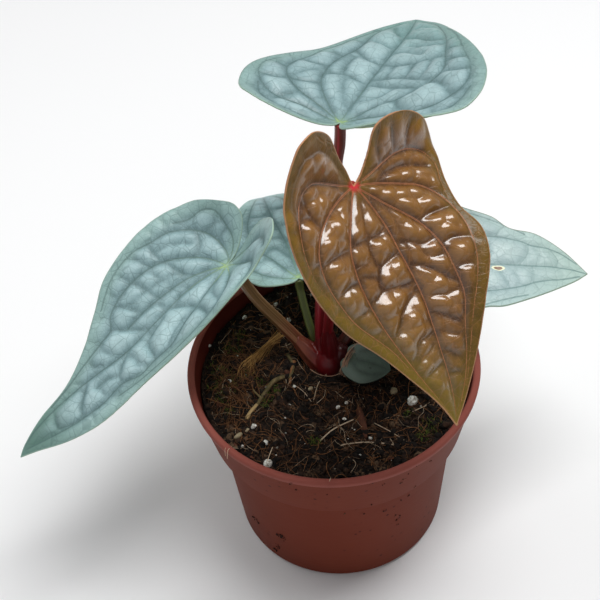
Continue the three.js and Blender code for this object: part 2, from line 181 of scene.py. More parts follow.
def tinge(material, colour, value, span, share, tint):
    """Lays a share of the tint over the colour, fading in while the value crosses the span."""
    return blend(material, times(material, between(material, value, *span), share), colour, tint)


def scaled(colour, share):
    return tuple(c * share for c in colour[:3]) + (1,)


def own_place(material):
    return add(material, "TexCoord").outputs["Object"]


def stretched(material, where, scale):
    return add(material, "Mapping", {"Vector": where, "Scale": scale}).outputs["Vector"]


def measured(material, name):
    return add(material, "Attribute", attribute_name=name).outputs["Fac"]


def noise(material, where, scale, detail=3.0, rough=0.55):
    node = add(material, "TexNoise", {"Vector": where, "Scale": scale, "Detail": detail,
                                      "Roughness": rough})
    return node.outputs["Fac"]


def bump(material, shader, height, depth, strength=1.0):
    node = add(material, "Bump", {"Height": height, "Distance": depth, "Strength": strength})
    join(material, node.outputs["Normal"], shader.inputs["Normal"])
    return node


# %% [markdown]
# The floor is a pale plain sheet, far larger than the plant, with a trace of cloud in it.
# A sheet curved up at the back would hide the horizon, but here the camera looks down.

# %% Floor
floor_paint, shader = new_material("floor_paint", Roughness=0.8)
spread = noise(floor_paint, own_place(floor_paint), 3.0)
join(floor_paint, blend(floor_paint, spread, tone(240, 240, 239), tone(247, 247, 246)),
     shader.inputs["Base Color"])
bm = bmesh.new()
bmesh.ops.create_grid(bm, x_segments=1, y_segments=1, size=4)
floor_mesh = bpy.data.meshes.new("floor")
bm.to_mesh(floor_mesh)
bm.free()
floor_mesh.materials.append(floor_paint)
floor = bpy.data.objects.new("floor", floor_mesh)
scene.collection.objects.link(floor)

# %% [markdown]
# ## Bent grids
# Most shapes here start as a flat grid of faces from an operator. Its corners are then
# moved to their places by a rule: a leaf, a stalk and the soil are all a bent grid. Where
# the grid closes on itself, the doubled corners are merged. Lists of corners and faces
# would be longer, and harder to change.

# %% Mesh helpers
def show(name, bm, materials, node=None, smooth=True):
    """Makes the bmesh a piece of the plant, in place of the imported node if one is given."""
    mesh = bpy.data.meshes.new(name)
    bm.to_mesh(mesh)
    bm.free()
    if smooth:
        mesh.shade_smooth()
    for material in materials:
        mesh.materials.append(material)
    obj = bpy.data.objects.new(name, mesh)
    scene.collection.objects.link(obj)
    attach(obj, "root")
    if node:
        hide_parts(node)
    print(name, len(mesh.polygons), "faces")
    return obj


def bent_grid(columns, rows, rule, marks=None, merge=1e-6):
    """A grid whose corners go where rule(across, along) says; both run from 0 to 1.

    marks(across, along) names what each corner carries: numbers, or triples of numbers.
    """
    bm = bmesh.new()
    bmesh.ops.create_grid(bm, x_segments=columns, y_segments=rows, size=1)
    flat = np.array([v.co for v in bm.verts])
    across = (flat[:, 0] + 1) / 2
    along = (flat[:, 1] + 1) / 2
    for key, values in (marks(across, along) if marks else {}).items():
        layers = bm.verts.layers
        layer = (layers.float_vector if values.ndim == 2 else layers.float).new(key)
        for vert, value in zip(bm.verts, values.tolist()):
            vert[layer] = value
    for vert, spot in zip(bm.verts, rule(across, along).tolist()):
        vert.co = spot
    bmesh.ops.remove_doubles(bm, verts=bm.verts, dist=merge)
    bmesh.ops.dissolve_degenerate(bm, dist=merge / 10, edges=bm.edges)
    return bm

# %% [markdown]
# The rules need a few small formulas: a soft step, bumps that repeat the solids' own, and
# smooth lines through given points. Curve objects could give the lines, but not as numbers
# that a rule can read.

# %% Formulas
def smooth_step(t):
    c = np.clip(t, 0, 1)
    return c * c * (3 - 2 * c)


def mix(a, b, share):
    return a + (b - a) * share


def scatter(i, j):
    s = np.sin(i * 127.1 + j * 311.7 + 17.3) * 43758.5453
    return s - np.floor(s)


def bumps(x, y, size):
    """Smooth bumps of about this size, from -1 to 1, the same rule as the solids'."""
    i, j = np.floor(x / size), np.floor(y / size)
    u, v = smooth_step(x / size - i), smooth_step(y / size - j)
    low = mix(scatter(i, j), scatter(i + 1, j), u)
    high = mix(scatter(i, j + 1), scatter(i + 1, j + 1), u)
    return 2 * mix(low, high, v) - 1


def arc(t, b, c, m, n):
    """A smooth arc from b to c that leaves along m and arrives along n."""
    return (((2 * t - 3) * t * t + 1) * b + ((t - 2) * t + 1) * t * m
            + (3 - 2 * t) * t * t * c + (t - 1) * t * t * n)


def smooth_line(points, per_span=12):
    """A Catmull-Rom line through points of any dimension, as an array."""
    p = np.array(points, float)
    padded = np.vstack([p[:1], p, p[-1:]])
    t = np.linspace(0, 1, per_span, endpoint=False)[:, None]
    spans = [arc(t, b, c, (c - a) / 2, (d - b) / 2)
             for a, b, c, d in zip(padded, padded[1:], padded[2:], padded[3:])]
    return np.vstack(spans + [p[-1:]])


def at_share(line, share):
    """Points at these shares of a line's length."""
    steps = np.linalg.norm(np.diff(line, axis=0), axis=1)
    run = np.concatenate([[0], np.cumsum(steps)])
    return np.stack([np.interp(np.asarray(share) * run[-1], run, line[:, k])
                     for k in range(line.shape[1])], -1)

# %% [markdown]
# ## The shape of a leaf
# A blade is drawn in its own plane: x runs across the midrib, y from the stalk to the tip.
# The margins, the place and the tilt of each blade are those of the solids, so the dressed
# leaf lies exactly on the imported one. A leaf could be cut from a flat sheet and bent by
# hand. A rule is better here, because six leaves share it. Each half has its own margin:
# plus to the right of the midrib, minus to the left, from the notch round to the tip.

# %% Leaf outlines
LEAVES = {
    "top": dict(
        at=(9.8, 48.1, 177.1), heading=63, pitch=-3, roll=5, length=109, drawn=1.07,
        droop=0.18, curl=0, bend=-0.09, puff=2.1,
        cup_plus=(0.37, 0.5), cup_minus=(0.43, 0.05), lift=(0.7, 0.78),
        plus=[(0, 0), (2, -5), (7, -10), (15, -14), (26, -15), (37, -12), (46, -5), (51, 6),
              (50, 18), (46, 29), (39, 42), (31, 56), (22, 72), (12, 90), (3, 101), (0, 102)],
        minus=[(0, 0), (-2, -4), (-8, -10), (-16, -14), (-25, -14), (-32, -10), (-38, -2),
               (-40, 10), (-38, 22), (-33, 34), (-26, 46), (-19, 64), (-12, 80), (-5, 94),
               (0, 102)],
    ),
    "bronze": dict(
        at=(10.1, -12.7, 198.9), heading=-60.4, pitch=-39, roll=12.8, length=91, drawn=0.92,
        droop=0.16, curl=0, bend=-0.04, puff=2.2,
        cup_plus=(0.38, -0.22), cup_minus=(-0.15, 0.6), lift=(0.92, 0.87),
        plus=[(0, 0), (2, -6), (6, -11), (12, -18), (20, -21), (28, -21), (35, -14), (41, -3),
              (44, 11), (40, 28), (31, 46), (20, 61), (12, 75), (5, 88), (1, 99)],
        minus=[(0, 0), (-5, -3), (-10, -9), (-14, -16), (-23, -18), (-34, -17), (-45, -11),
               (-47, 0), (-41, 13), (-38, 24), (-39, 35), (-35, 46), (-26, 60), (-15, 79),
               (-6, 92), (1, 99)],
    ),
    "left": dict(
        at=(-39.4, 22.9, 129.5), heading=212, pitch=-17, roll=0, length=112,
        droop=0.155, curl=0, bend=0.047, puff=1.9,
        cup_plus=(0.42, 0.4), cup_minus=(1.1, 0), lift=(0.6, 0.72),
        plus=[(0, 0), (1, -7), (6, -16), (12, -18), (19, -15), (27, -9), (32, 0), (34, 12),
              (33, 26), (29, 41), (22, 52), (14, 65), (8, 80), (6, 96), (3, 107), (0, 112)],
        minus=[(0, 0), (-1, -7), (-1, -14), (-4, -20), (-12, -22), (-21, -21), (-28, -15),
               (-29, -5), (-31, 8), (-28, 22), (-23, 38), (-19, 55), (-17, 77), (-12, 92),
               (-4, 105), (0, 112)],
    ),
    "back_left": dict(
        at=(-11.2, 27.1, 114.2), heading=101, pitch=2, roll=0, length=84,
        droop=0.27, curl=0.9, bend=0.02, puff=1.2,
        cup_plus=(0.15, 0.1), cup_minus=(0.15, 0.1), lift=(1.3, 1.3),
        plus=[(0, 0), (3, -3), (8, -4.5), (17, -5), (25, -3), (30, 4), (31, 13), (28, 26),
              (22, 41), (14, 56), (6, 72), (0, 84)],
        minus=[(0, 0), (-3, -2.4), (-8, -3.8), (-14, -2.6), (-21, 2.6), (-27, 10), (-30, 18),
               (-29, 29), (-23, 42), (-14, 56), (-6, 72), (0, 84)],
    ),
    "right": dict(
        at=(27.1, 20.8, 121), heading=4, pitch=-3, roll=-12.4, length=82,
        droop=0.125, curl=0, bend=0.06, puff=1.2,
        cup_plus=(0.13, 0.12), cup_minus=(0.12, 0.16), lift=(0.5, 0.5),
        plus=[(0, 0), (4, -9), (11, -17), (20, -19), (29, -13), (34, -2), (33, 11), (28, 23),
              (21, 33), (20, 42), (16, 53), (11, 64), (5, 75), (0, 82)],
        minus=[(0, 0), (-4, -9), (-11, -17), (-20, -19), (-29, -13), (-35, -2), (-36, 11),
               (-32, 24), (-27, 34), (-23, 45), (-18, 52), (-16, 63), (-9, 74), (0, 82)],
    ),
    "small": dict(
        at=(7.5, 1.5, 91.5), heading=-22, pitch=-5, roll=-3, length=17,
        droop=0.08, curl=0, bend=0, puff=0.25,
        cup_plus=(0.1, 0.1), cup_minus=(0.1, 0.1), lift=(0.4, 0.4),
        plus=[(0, 0), (2, -2.6), (5.5, -3), (9, -0.5), (11, 3), (11.6, 7.6), (8.3, 12.2),
              (4.2, 15.2), (0, 17)],
        minus=[(0, 0), (-2, -2.2), (-5, -2), (-7.6, 1), (-9, 5), (-8, 10), (-4.5, 14.4),
               (0, 17)],
    ),
}
BLADE_THICKNESS = 0.6 * MM
VEIN_START = [0, 0, 0, 0, 0, 0.14, 0.3, 0.47, 0.64, 0.82, 1]
VEIN_BOW = 0.13
VEIN_END = [0.16, 0.25, 0.36, 0.47, 0.57, 0.66, 0.745, 0.825, 0.9, 0.96, 1]
for leaf in LEAVES.values():
    drawn = leaf.get("drawn", 1)
    leaf["margins"] = [drawn * smooth_line(leaf[half], 24) for half in ("minus", "plus")]
print(len(LEAVES), "leaves,", len(VEIN_START) - 1, "bands a half")

# %% [markdown]
# A flat leaf gets its place in three steps: bent sideways in its plane, raised or lowered
# off it by droop, cup and lobes, and turned to its heading, pitch and roll. An armature
# could bend it too, but a formula gives the same place to veins, ribs and blade.

# %% From the flat leaf to its place
HALF_WIDTH, FOLD_SOFTNESS, CURL_FROM = 0.42, 0.03, 0.6


def axes_of(leaf):
    """The leaf's directions: across the midrib, along it to the tip, and out of its face."""
    turn, rise, roll = (math.radians(leaf[k]) for k in ("heading", "pitch", "roll"))
    along = np.array([math.cos(rise) * math.cos(turn), math.cos(rise) * math.sin(turn),
                      math.sin(rise)])
    level = np.array([math.sin(turn), -math.cos(turn), 0])
    above = np.cross(level, along)
    across = level * math.cos(roll) + above * math.sin(roll)
    out = above * math.cos(roll) - level * math.sin(roll)
    return across, along, out


def stand_off(leaf, x, y):
    """Droop, tip curl, cup and lifted lobes, in millimetres off the leaf's plane."""
    size = leaf["length"]
    t = np.abs(x) / (HALF_WIDTH * size)
    change = smooth_step((y / size + 0.1) / 0.8)
    plus, minus = leaf["cup_plus"], leaf["cup_minus"]
    cup = np.where(x > 0, mix(plus[0], plus[1], change), mix(minus[0], minus[1], change))
    fold = cup * (np.sqrt(t * t + FOLD_SOFTNESS) - math.sqrt(FOLD_SOFTNESS))
    behind = np.maximum(-y / size, 0)
    lobe = 2 * np.where(x > 0, *leaf["lift"]) * behind ** 1.5
    front = np.maximum(y / size, 0)
    fall = leaf["droop"] * front ** 2 + leaf["curl"] * np.maximum(front - CURL_FROM, 0) ** 2
    return size * (HALF_WIDTH * fold + lobe - fall)


def on_blade(leaf, x, y, height):
    """Points in the room, in metres, of flat places x, y at a height over the blade."""
    across, along, out = axes_of(leaf)
    bent = x + leaf["bend"] * np.maximum(y, 0) ** 2 / leaf["length"]
    raised = stand_off(leaf, x, y) + height
    point = (np.array(leaf["at"]) + bent[:, None] * across + y[:, None] * along
             + raised[:, None] * out)
    return point * MM


def flat_place(leaf, share_across, share_along):
    """Where a corner of the grid lies in the flat leaf. The rows follow the side veins."""
    side = np.where(share_across < 0.5, -1.0, 1.0)
    v = np.abs(share_across - 0.5) * 2
    u = share_along * (len(VEIN_START) - 1)
    ticks = np.arange(len(VEIN_START))
    share = np.interp(u, ticks, VEIN_END)
    minus, plus = leaf["margins"]
    end = np.where(side[:, None] > 0, at_share(plus, share), at_share(minus, share))
    start = np.stack([0 * u, np.interp(u, ticks, VEIN_START) * leaf["length"]], -1)
    chord = end - start
    bow = (VEIN_BOW * smooth_step((u - 1) / 4) * side)[:, None]
    middle = start + chord / 2 + np.stack([chord[:, 1], -chord[:, 0]], -1) * bow
    v = v[:, None]
    point = start * (1 - v) ** 2 + middle * 2 * v * (1 - v) + end * v * v
    inner = VEIN_END[0] * v[:, 0]
    notch = np.where(side[:, None] > 0, at_share(plus, inner), at_share(minus, inner))
    point = mix(notch, point, np.clip(u, 0, 1)[:, None])
    return point[:, 0], point[:, 1]


# %% [markdown]
# ## Veins
# The leaf is quilted: the blade grows faster than its veins, so it bulges between them
# like a mattress between its seams. The net of strong veins therefore decides the look.
# From the stalk the midrib runs to the tip and three or four veins arch round each half,
# almost parallel to the margin. Cross veins tie them together. Each line is listed under
# its strength, in the plane of its own leaf, as it runs on the photographed plant. Veins
# grown by a rule would be shorter to write, but every leaf would look alike.

# %% Veins by leaf and strength
VEINS = {}

# %% [markdown]
# The newest leaf has the strongest relief. Beside its midrib six veins arch from the
# stalk, and the cross veins between them part the blade into pillows.

# %% The bronze leaf
VEINS["bronze"] = {
    1.0: [
        [(0, 0), (-2, 5), (-3.6, 12), (-5, 20), (-5.4, 30), (-6, 41), (-6, 50), (-5.2, 60),
         (-4.4, 70), (-3.6, 80), (-2, 90), (0.6, 98)],
        [(0, 0), (-9, 10.5), (-18, 21.5), (-21.8, 33), (-21.3, 45), (-20, 55), (-16, 65),
         (-12.5, 76), (-8, 86), (-2, 95)],
        [(0, 0), (-10, 2.6), (-20, 6.3), (-29, 10.7), (-34, 18), (-35.5, 27), (-34, 36),
         (-30.5, 45), (-26, 53), (-21, 61), (-17, 69), (-13, 78), (-8.5, 87)],
        [(0, 0), (-8, -1.2), (-16, -3.2), (-24, -4.8), (-32, -4.6), (-40, -1.5), (-42.5, 5),
         (-39, 12), (-36, 20)],
        [(0, 0), (8, 9.5), (15, 19.5), (17.3, 28), (17.2, 38), (15.6, 48), (13.5, 57),
         (11, 66), (8, 76), (4.5, 86), (1.5, 95)],
        [(0, 0), (10, 2.4), (18, 5.5), (25, 9.5), (30, 14.5), (32.3, 20), (32, 28), (29, 37),
         (25, 46), (19.5, 54), (14.5, 62), (11.3, 70)],
        [(0, 0), (8, -2.5), (16, -5), (23, -6.5), (29.5, -4.6), (33.5, 0), (37, 7),
         (38.5, 15), (37.5, 23), (34, 32)],
    ],
    0.8: [
        [(-5.5, 26), (-11, 28), (-15, 31), (-21, 31)],
        [(-5.9, 36), (-10, 37.5), (-15, 42), (-18, 47), (-20.5, 50)],
        [(-5.6, 54.5), (-9, 57), (-13, 61.5), (-16.5, 64)],
        [(-4.5, 70.5), (-7, 72), (-10, 76), (-12, 79)], [(-3.8, 79.5), (-7, 80.5), (-10, 84)],
        [(-19, 22.5), (-26, 22), (-35, 23)], [(-22, 34.3), (-27, 34), (-34, 37)],
        [(-21.3, 44.5), (-25, 45), (-30, 47)], [(-20, 54.5), (-22, 56), (-26, 58)],
        [(-16.3, 63), (-19, 64), (-21, 66)], [(-10, 2.6), (-18, 0.5), (-28, 1), (-38, 5)],
        [(-24, -4.8), (-24.5, -9), (-24, -14)], [(-32, -4.6), (-33, -10), (-36, -14)],
        [(-16, -3.2), (-15, -8), (-16, -14)], [(-34, 18), (-38, 16)],
        [(-4.8, 19), (0, 20.3), (6, 20.3), (11, 20), (15.5, 20.6)],
        [(-5.3, 30), (1, 30.5), (6, 32), (9, 36.5), (9.3, 40)], [(6, 21), (7, 26), (6, 31.5)],
        [(8.5, 35), (12, 33), (17.3, 31.2)],
        [(-6, 42), (0, 41.5), (5, 40.3), (9.5, 40), (13, 41.3), (17, 41.5)],
        [(-6, 44.5), (0, 47.3), (5, 50.6), (8.5, 55), (13, 58.5)],
        [(-5, 62), (-1, 62.8), (3, 63.3), (6, 67), (10, 69.5)],
        [(-4.2, 74), (0, 75.2), (5, 76.5), (8, 79)],
        [(16, 20.8), (22, 21), (28, 21.5), (32.5, 22)], [(17.3, 33), (23, 32.7), (29.5, 35)],
        [(16.5, 43.4), (21, 44), (26, 44)], [(14.5, 53.5), (18, 53), (21.5, 52)],
        [(32.3, 20.3), (36, 21), (40, 23)], [(29, 4.8), (34, 4), (38, 6.5)],
        [(25, 9.5), (28, 6), (30, -4)],
    ],
    0.45: [
        [(-1, 6), (-6, 10), (-9, 16), (-10, 24), (-9, 32), (-7, 40)],
        [(0.5, 6), (3, 12), (6, 20)], [(7, 26), (12, 28.3), (17, 27)],
        [(-5.5, 50), (-10, 50), (-14, 52), (-19, 52)], [(-20, 38), (-16, 37), (-13, 33)],
        [(31, 28), (35, 29), (37, 30)], [(28, 38), (31, 39), (34, 40)], [(24, 47), (27, 48)],
        [(13, 66), (16, 66)], [(11, 73), (13, 73)], [(-35.5, 28), (-38, 28)],
        [(-33, 38), (-37, 40)], [(-29, 48), (-32, 50)],
        [(0, 0), (5, -6), (11, -11.5), (19, -15), (27, -14), (33, -9.5), (36.5, -3), (37, 7)],
        [(12, -11.5), (10, -16)], [(19, -15), (19, -20)], [(27, -14), (30, -18)],
        [(33, -9), (37, -9)], [(38, 8), (42, 7)], [(38, 16), (43, 17)],
        [(-7, 63), (-11, 67), (-15, 68)], [(-5, 66), (0, 68), (5, 69.5), (9, 72)],
    ],
}

# %% [markdown]
# The left leaf is long, so its veins run almost straight to the tip.

# %% The left leaf
VEINS["left"] = {
    1.0: [
        [(0, 0), (2.3, 9), (3, 20), (2.2, 30), (1.2, 40), (0.3, 50), (0.8, 58), (2.3, 68),
         (3.6, 80), (4.2, 92), (3.6, 102), (1.5, 111)],
        [(0, 0), (4.5, 8), (7.3, 17), (8.2, 27), (8.5, 37), (7.6, 46.5)],
        [(0, 0), (6, 2.5), (11, 6.5), (16.5, 14), (19.8, 22), (20.7, 31), (19.6, 40),
         (16.5, 48), (12, 52), (11, 57), (10, 63), (8.7, 71), (7, 80), (6, 90)],
        [(0, 0), (3, -3.2), (10, -4.2), (17, -2.3), (22.5, 2.5), (26.5, 9.5), (27.8, 17),
         (29.5, 25), (28.5, 34), (25.5, 42), (20.5, 50)],
        [(0, -1), (5, -8.5), (12, -10.7), (19, -11), (23.5, -7), (25, -1), (28, 5)],
        [(0, 0), (-3, 8), (-6, 15.5), (-8.5, 20), (-11, 27), (-14, 33), (-15.8, 38),
         (-14.5, 46), (-14.3, 54), (-10.3, 62), (-10.7, 72), (-9, 82), (-6.5, 91), (-3, 100),
         (0.5, 108)],
        [(0, 0), (-7, 2.5), (-13, 6), (-19, 10), (-22.5, 17), (-22.5, 26), (-20.5, 36),
         (-18, 46), (-16, 56), (-13.5, 66)],
        [(0, 0), (-4, -3), (-11, -5), (-19, -6), (-25, -2), (-27.5, 6)],
        [(0, -1), (-3, -8), (-8, -14), (-16, -15), (-23, -12)],
    ],
    0.8: [
        [(1.3, 41), (4.5, 43.8), (7.5, 47), (12, 52)], [(8.3, 29), (13, 30.5), (20.5, 33)],
        [(8.5, 38), (13, 40.5), (18.5, 45)], [(7.2, 14), (11, 16), (18, 18)],
        [(20, 18.7), (24, 19.2), (27.6, 18.5)], [(11.5, 7), (14, 3), (19, 0)],
        [(-8.7, 20), (-14, 19.6), (-21.5, 20)], [(-8.5, 20), (-3, 23), (2, 28)],
        [(-14.3, 45.5), (-8, 44.8), (-3.5, 43.5), (0.6, 33)],
        [(-10.3, 62), (-6, 60.6), (-3, 57), (0.4, 51)],
        [(-9, 82), (-5, 81), (-1, 76.5), (3, 72.5)],
        [(-6.8, 90.5), (-4, 92.6), (0, 92), (4.2, 90)], [(-15.6, 37.5), (-20.5, 39.5)],
        [(2.3, 63), (5.5, 66.3), (9.5, 66.5)], [(3, 74), (6, 76.5), (8, 77)],
        [(20.8, 24), (26, 26), (29, 28)], [(20.5, 34), (25, 35), (28, 36)],
        [(19, 41.5), (23, 43), (25, 43)], [(10.5, -10.5), (11, -7), (10.5, -4.2)],
        [(17.5, -11), (16, -7), (17, -2.3)], [(-5.7, 61), (-3.5, 65), (-2.6, 71)],
    ],
    0.45: [
        [(27.5, 14), (33, 14.5)], [(26, 8), (32, 8)], [(22.5, 2.5), (29, 1)],
        [(29.5, 26), (33, 26)], [(28.5, 34), (31, 36)], [(25, 43), (28, 44)],
        [(20, 51), (22, 52)], [(16, 48), (19, 54)], [(10.5, 58), (15, 62)], [(3, -3), (6, -8)],
        [(19, -11), (20, -15)], [(8, 22), (13, 23), (20, 26)], [(3, 18), (7.5, 20)],
        [(2.5, 30), (8, 31)], [(-15, 40), (-11, 34), (-8, 27)], [(-22.5, 18), (-29, 18)],
        [(-22.5, 27), (-27, 28)], [(-19, 42), (-22, 43)], [(-2, 6), (-9, 12), (-20, 13)],
        [(-14, 50), (-9, 52), (-3, 52)], [(-10.5, 70), (-6, 70), (-2, 68)],
        [(4, 58), (8, 60), (10, 58)], [(-10.5, 66), (-15, 68)], [(-10, 78), (-15, 80)],
        [(4, 84), (6, 84)], [(12, 19), (14, 30)], [(14, 31), (14, 41)],
        [(17, 5), (22, 12), (23, 19)],
    ],
}

# %% [markdown]
# The top leaf is the widest. Its outermost vein turns back round the lobe.

# %% The top leaf
VEINS["top"] = {
    1.0: [
        [(0, 0), (0.3, 10), (0.5, 20), (0.7, 30), (1, 40), (1.2, 50), (1.6, 60), (1.9, 70),
         (1.7, 80), (1.3, 90), (0.5, 101)],
        [(0, 0), (-5, 5), (-11, 12), (-15.5, 20), (-17, 29), (-16.8, 38), (-15, 46),
         (-13, 53), (-11.8, 62), (-11.3, 71), (-8.5, 81), (-4, 91)],
        [(0, 0), (-6, 3.5), (-13, 6.5), (-20, 9.3), (-26, 14), (-29.3, 21), (-28.5, 29),
         (-26, 37), (-24.5, 45), (-21, 53), (-18, 62), (-14, 71), (-10, 80)],
        [(0, 0), (-8, 1), (-16, 1.5), (-24, 0), (-31, 3), (-36, 10), (-37, 18), (-34, 26)],
        [(0, 0), (-6, -4), (-14, -7), (-22, -8), (-29, -4), (-33, 3)],
        [(0, 0), (5, 4.5), (10, 9.5), (17, 12.5), (24, 16.5), (28.5, 22), (30.5, 29),
         (29, 37), (26.5, 46), (24.3, 56), (21, 66), (17, 76), (12, 87), (4, 97)],
        [(0, 0), (8, 2.5), (17, 2.2), (26, 2), (34, 3.5), (40, 8), (43.3, 15), (42.5, 24),
         (38.5, 34), (33.5, 45), (29.5, 55), (25, 65), (20, 74)],
        [(0, 0), (8, -3), (18, -6), (28, -7), (38, -3.5), (44, 3), (46, 12)],
    ],
    0.8: [
        [(0.6, 27), (-5, 28.5), (-10, 30), (-16.5, 26)], [(-10.5, 30), (-11.5, 38), (-11, 46)],
        [(1, 44), (-4, 44.6), (-8, 47.5), (-13, 52.7)], [(1.8, 72), (-2, 76), (-6, 85)],
        [(-16.9, 34), (-21, 31.5), (-28.4, 30)], [(-15.5, 44), (-20, 45), (-24.5, 43)],
        [(-15.2, 19), (-19, 16), (-26, 14)], [(-29.3, 20), (-34, 21), (-37, 19)],
        [(-26, 14), (-30, 10), (-35.5, 9)], [(-20, 9.2), (-21, 5), (-24, 0)],
        [(3, 26), (9, 23.3), (16, 21), (25, 18)], [(0.8, 31), (9, 30), (14, 28.8), (28, 22)],
        [(15.5, 40), (15.3, 34), (15, 28.5)],
        [(1.2, 44), (9, 41), (16, 40.3), (22, 41), (28, 40)],
        [(1.9, 73), (9, 68.5), (16, 62), (23.5, 58)], [(30.5, 27.5), (36, 25.5), (42.3, 25)],
        [(28, 21), (33, 18), (38, 11), (41, 9)], [(29.5, 35.5), (34, 35.5), (38.2, 34.5)],
        [(26.7, 45.5), (30, 47), (33, 46)], [(24.5, 56), (27.5, 58), (29, 56)],
        [(17, 12.5), (20, 7), (26, 2)],
    ],
    0.45: [
        [(-28.4, 30), (-34, 30)], [(-25, 42), (-28, 42)], [(-22, 52), (-24, 52)],
        [(-11.8, 61), (-17, 62)], [(-8, 12), (-12, 9)], [(-2, 10), (-6, 18), (-9, 28)],
        [(1.6, 58), (-5, 62), (-11.5, 66)], [(3, 14), (10, 16), (14, 22)],
        [(6, 41), (7, 35), (5, 30)], [(22, 41), (23, 34), (22, 25)],
        [(3, 55), (10, 52), (17, 46)], [(43, 17), (50, 17)], [(42, 26), (47, 26)],
        [(38, 35), (43, 35)], [(33, 46), (37, 46)], [(40, 8), (48, 3)], [(26, 2), (27, -7)],
        [(34, 3.5), (37, -3)], [(29, 56), (31, 56)], [(-17, 30), (-22, 24), (-26, 14)],
        [(5, 83), (12, 80), (16, 78)], [(-24, 0), (-24, -8)], [(-31, 3), (-34, -2)],
        [(-36, 12), (-39, 12)], [(8, 60), (14, 56), (24, 52)],
    ],
}

# %% [markdown]
# The right leaf is nearly flat. What the bronze leaf hides of it is drawn like the rest.

# %% The right leaf
VEINS["right"] = {
    1.0: [
        [(0, 0), (-0.5, 20), (-1, 40), (-1, 50), (-1, 58), (-1.3, 66), (-1, 74), (0, 81)],
        [(0, 0), (-6, 9), (-11, 20), (-13.4, 32), (-13.8, 44), (-12.3, 55), (-10.5, 60),
         (-10, 66), (-8, 72), (-4, 78)],
        [(0, 0), (-9, 4), (-18, 9), (-25, 17), (-27, 26), (-24, 37), (-20, 48), (-15.5, 58)],
        [(0, 0), (-8, -3), (-17, -6), (-26, -6), (-31, 1), (-32, 11)],
        [(0, 0), (6, 9), (11, 20), (12.6, 32), (11.8, 42), (9.8, 51), (7.5, 57), (5.8, 63),
         (4.5, 70), (2, 78)],
        [(0, 0), (9, 4), (18, 8), (25, 14), (26, 21), (21, 30), (17.5, 40), (14, 53)],
        [(0, 0), (8, -4), (17, -7), (25, -5), (30, 2), (30, 12)],
    ],
    0.8: [
        [(-10.6, 58.5), (-6, 57), (-1.1, 52.5)], [(-13.8, 45), (-17, 48), (-19.5, 50.5)],
        [(-1, 58), (3, 58), (7.3, 56.7)], [(7.5, 57), (11, 58), (13.5, 55)],
        [(-0.6, 24), (-6, 26), (-12, 26)], [(-1, 38), (-7, 41), (-13.6, 41)],
        [(-0.6, 26), (5, 28), (12, 28)], [(-0.9, 42), (5, 45), (11, 46)],
        [(-13, 30), (-19, 30), (-26.5, 29)], [(-8, 14), (-14, 16), (-24.5, 17)],
        [(12, 26), (17, 26), (25, 22)], [(8, 13), (14, 14), (25, 15)],
        [(-9.8, 67), (-5, 70), (-1.2, 68)],
    ],
    0.45: [
        [(-20, 48), (-24, 47)], [(-24, 37), (-27, 37)], [(-27, 26), (-31, 27)],
        [(-15.5, 58), (-17, 58)], [(12, 38), (19, 36)], [(-1, 48), (5, 51), (9.8, 51)],
        [(-0.5, 12), (-5, 14), (-9, 14)], [(-9.5, 61), (-6, 63), (-1.2, 60)],
        [(25, 18), (30, 18)], [(5.8, 63), (9, 64), (12, 61)], [(-26, -6), (-27, -13)],
        [(17, -7), (18, -15)], [(-17, -6), (-18, -15)], [(-1.2, 70), (2, 71), (4.4, 70)],
    ],
}

# %% [markdown]
# The back-left leaf lies half hidden, and the small one has only three plain veins.

# %% The back-left and small leaves
VEINS["back_left"] = {
    1.0: [
        [(0, 0), (0.4, 12), (0.2, 22), (-0.6, 32), (-1.6, 44), (-1.6, 56), (-1, 68), (0, 82)],
        [(0, 0), (-4, 6.5), (-8.5, 14), (-12, 19), (-14, 27), (-13.5, 38), (-10, 50),
         (-6, 62), (-3, 72)],
        [(0, 0), (-8, 2), (-14, 5), (-19, 10), (-23, 18), (-22, 29), (-17, 41), (-11, 54)],
        [(0, 0), (4, 7), (8, 15), (12, 25), (12, 37), (9, 50), (5, 62), (2, 73)],
        [(0, 0), (8, 2), (16, 5), (22, 10), (24.5, 18), (22, 30), (17, 42), (11, 54)],
    ],
    0.8: [
        [(-10.5, 17.2), (-6, 20.3), (-3, 18), (0.3, 11)], [(-0.6, 33), (-6, 33), (-13.8, 30)],
        [(-1.6, 47), (-6, 45), (-11.5, 46)], [(0.2, 24), (6, 22), (11.5, 23)],
        [(-0.6, 35), (6, 36), (12, 36)], [(-1.6, 50), (4, 49), (9, 50)],
        [(-13.8, 26), (-18, 24), (-23, 20)], [(12, 27), (18, 26), (24, 21)],
        [(-12.5, 42), (-15, 42), (-17, 41)],
    ],
    0.45: [
        [(-9, 14.5), (-14, 12), (-18, 9)], [(-22, 28), (-27, 28)],
        [(-1, 26), (-8, 27), (-13.8, 24)], [(-1.4, 40), (-7, 39), (-13, 38)],
        [(22, 30), (27, 27)], [(-23, 18), (-28, 16)], [(-14, 5), (-16, 0)],
        [(-1.6, 56), (-5, 57), (-8, 56)],
    ],
}
VEINS["small"] = {
    0.8: [
        [(0, 0), (0, 9), (0, 18)], [(0, 0), (-5, 4), (-6, 9), (-3, 15)],
        [(0, 0), (5, 4), (6, 9), (3, 15)],
    ],
}
for name, lines in VEINS.items():
    print(name, sum(len(group) for group in lines.values()), "veins")


# %% [markdown]
# ## Quilting
# To get the pillows, the flat leaf is treated as a thin skin under slight air pressure that
# is sewn down along the veins: stiff along the strong ones, looser along the weak ones. Its
# rest height is found by letting every point settle between its neighbours, many times
# over. Sculpting the pillows by hand would give the same look, but not from the veins.
# A loose net of random cells adds the small dimples between the drawn veins. The flat
# leaf is laid out in square cells for this, each with its distance from the margin.

# %% The flat leaf in square cells
STEP = 0.5


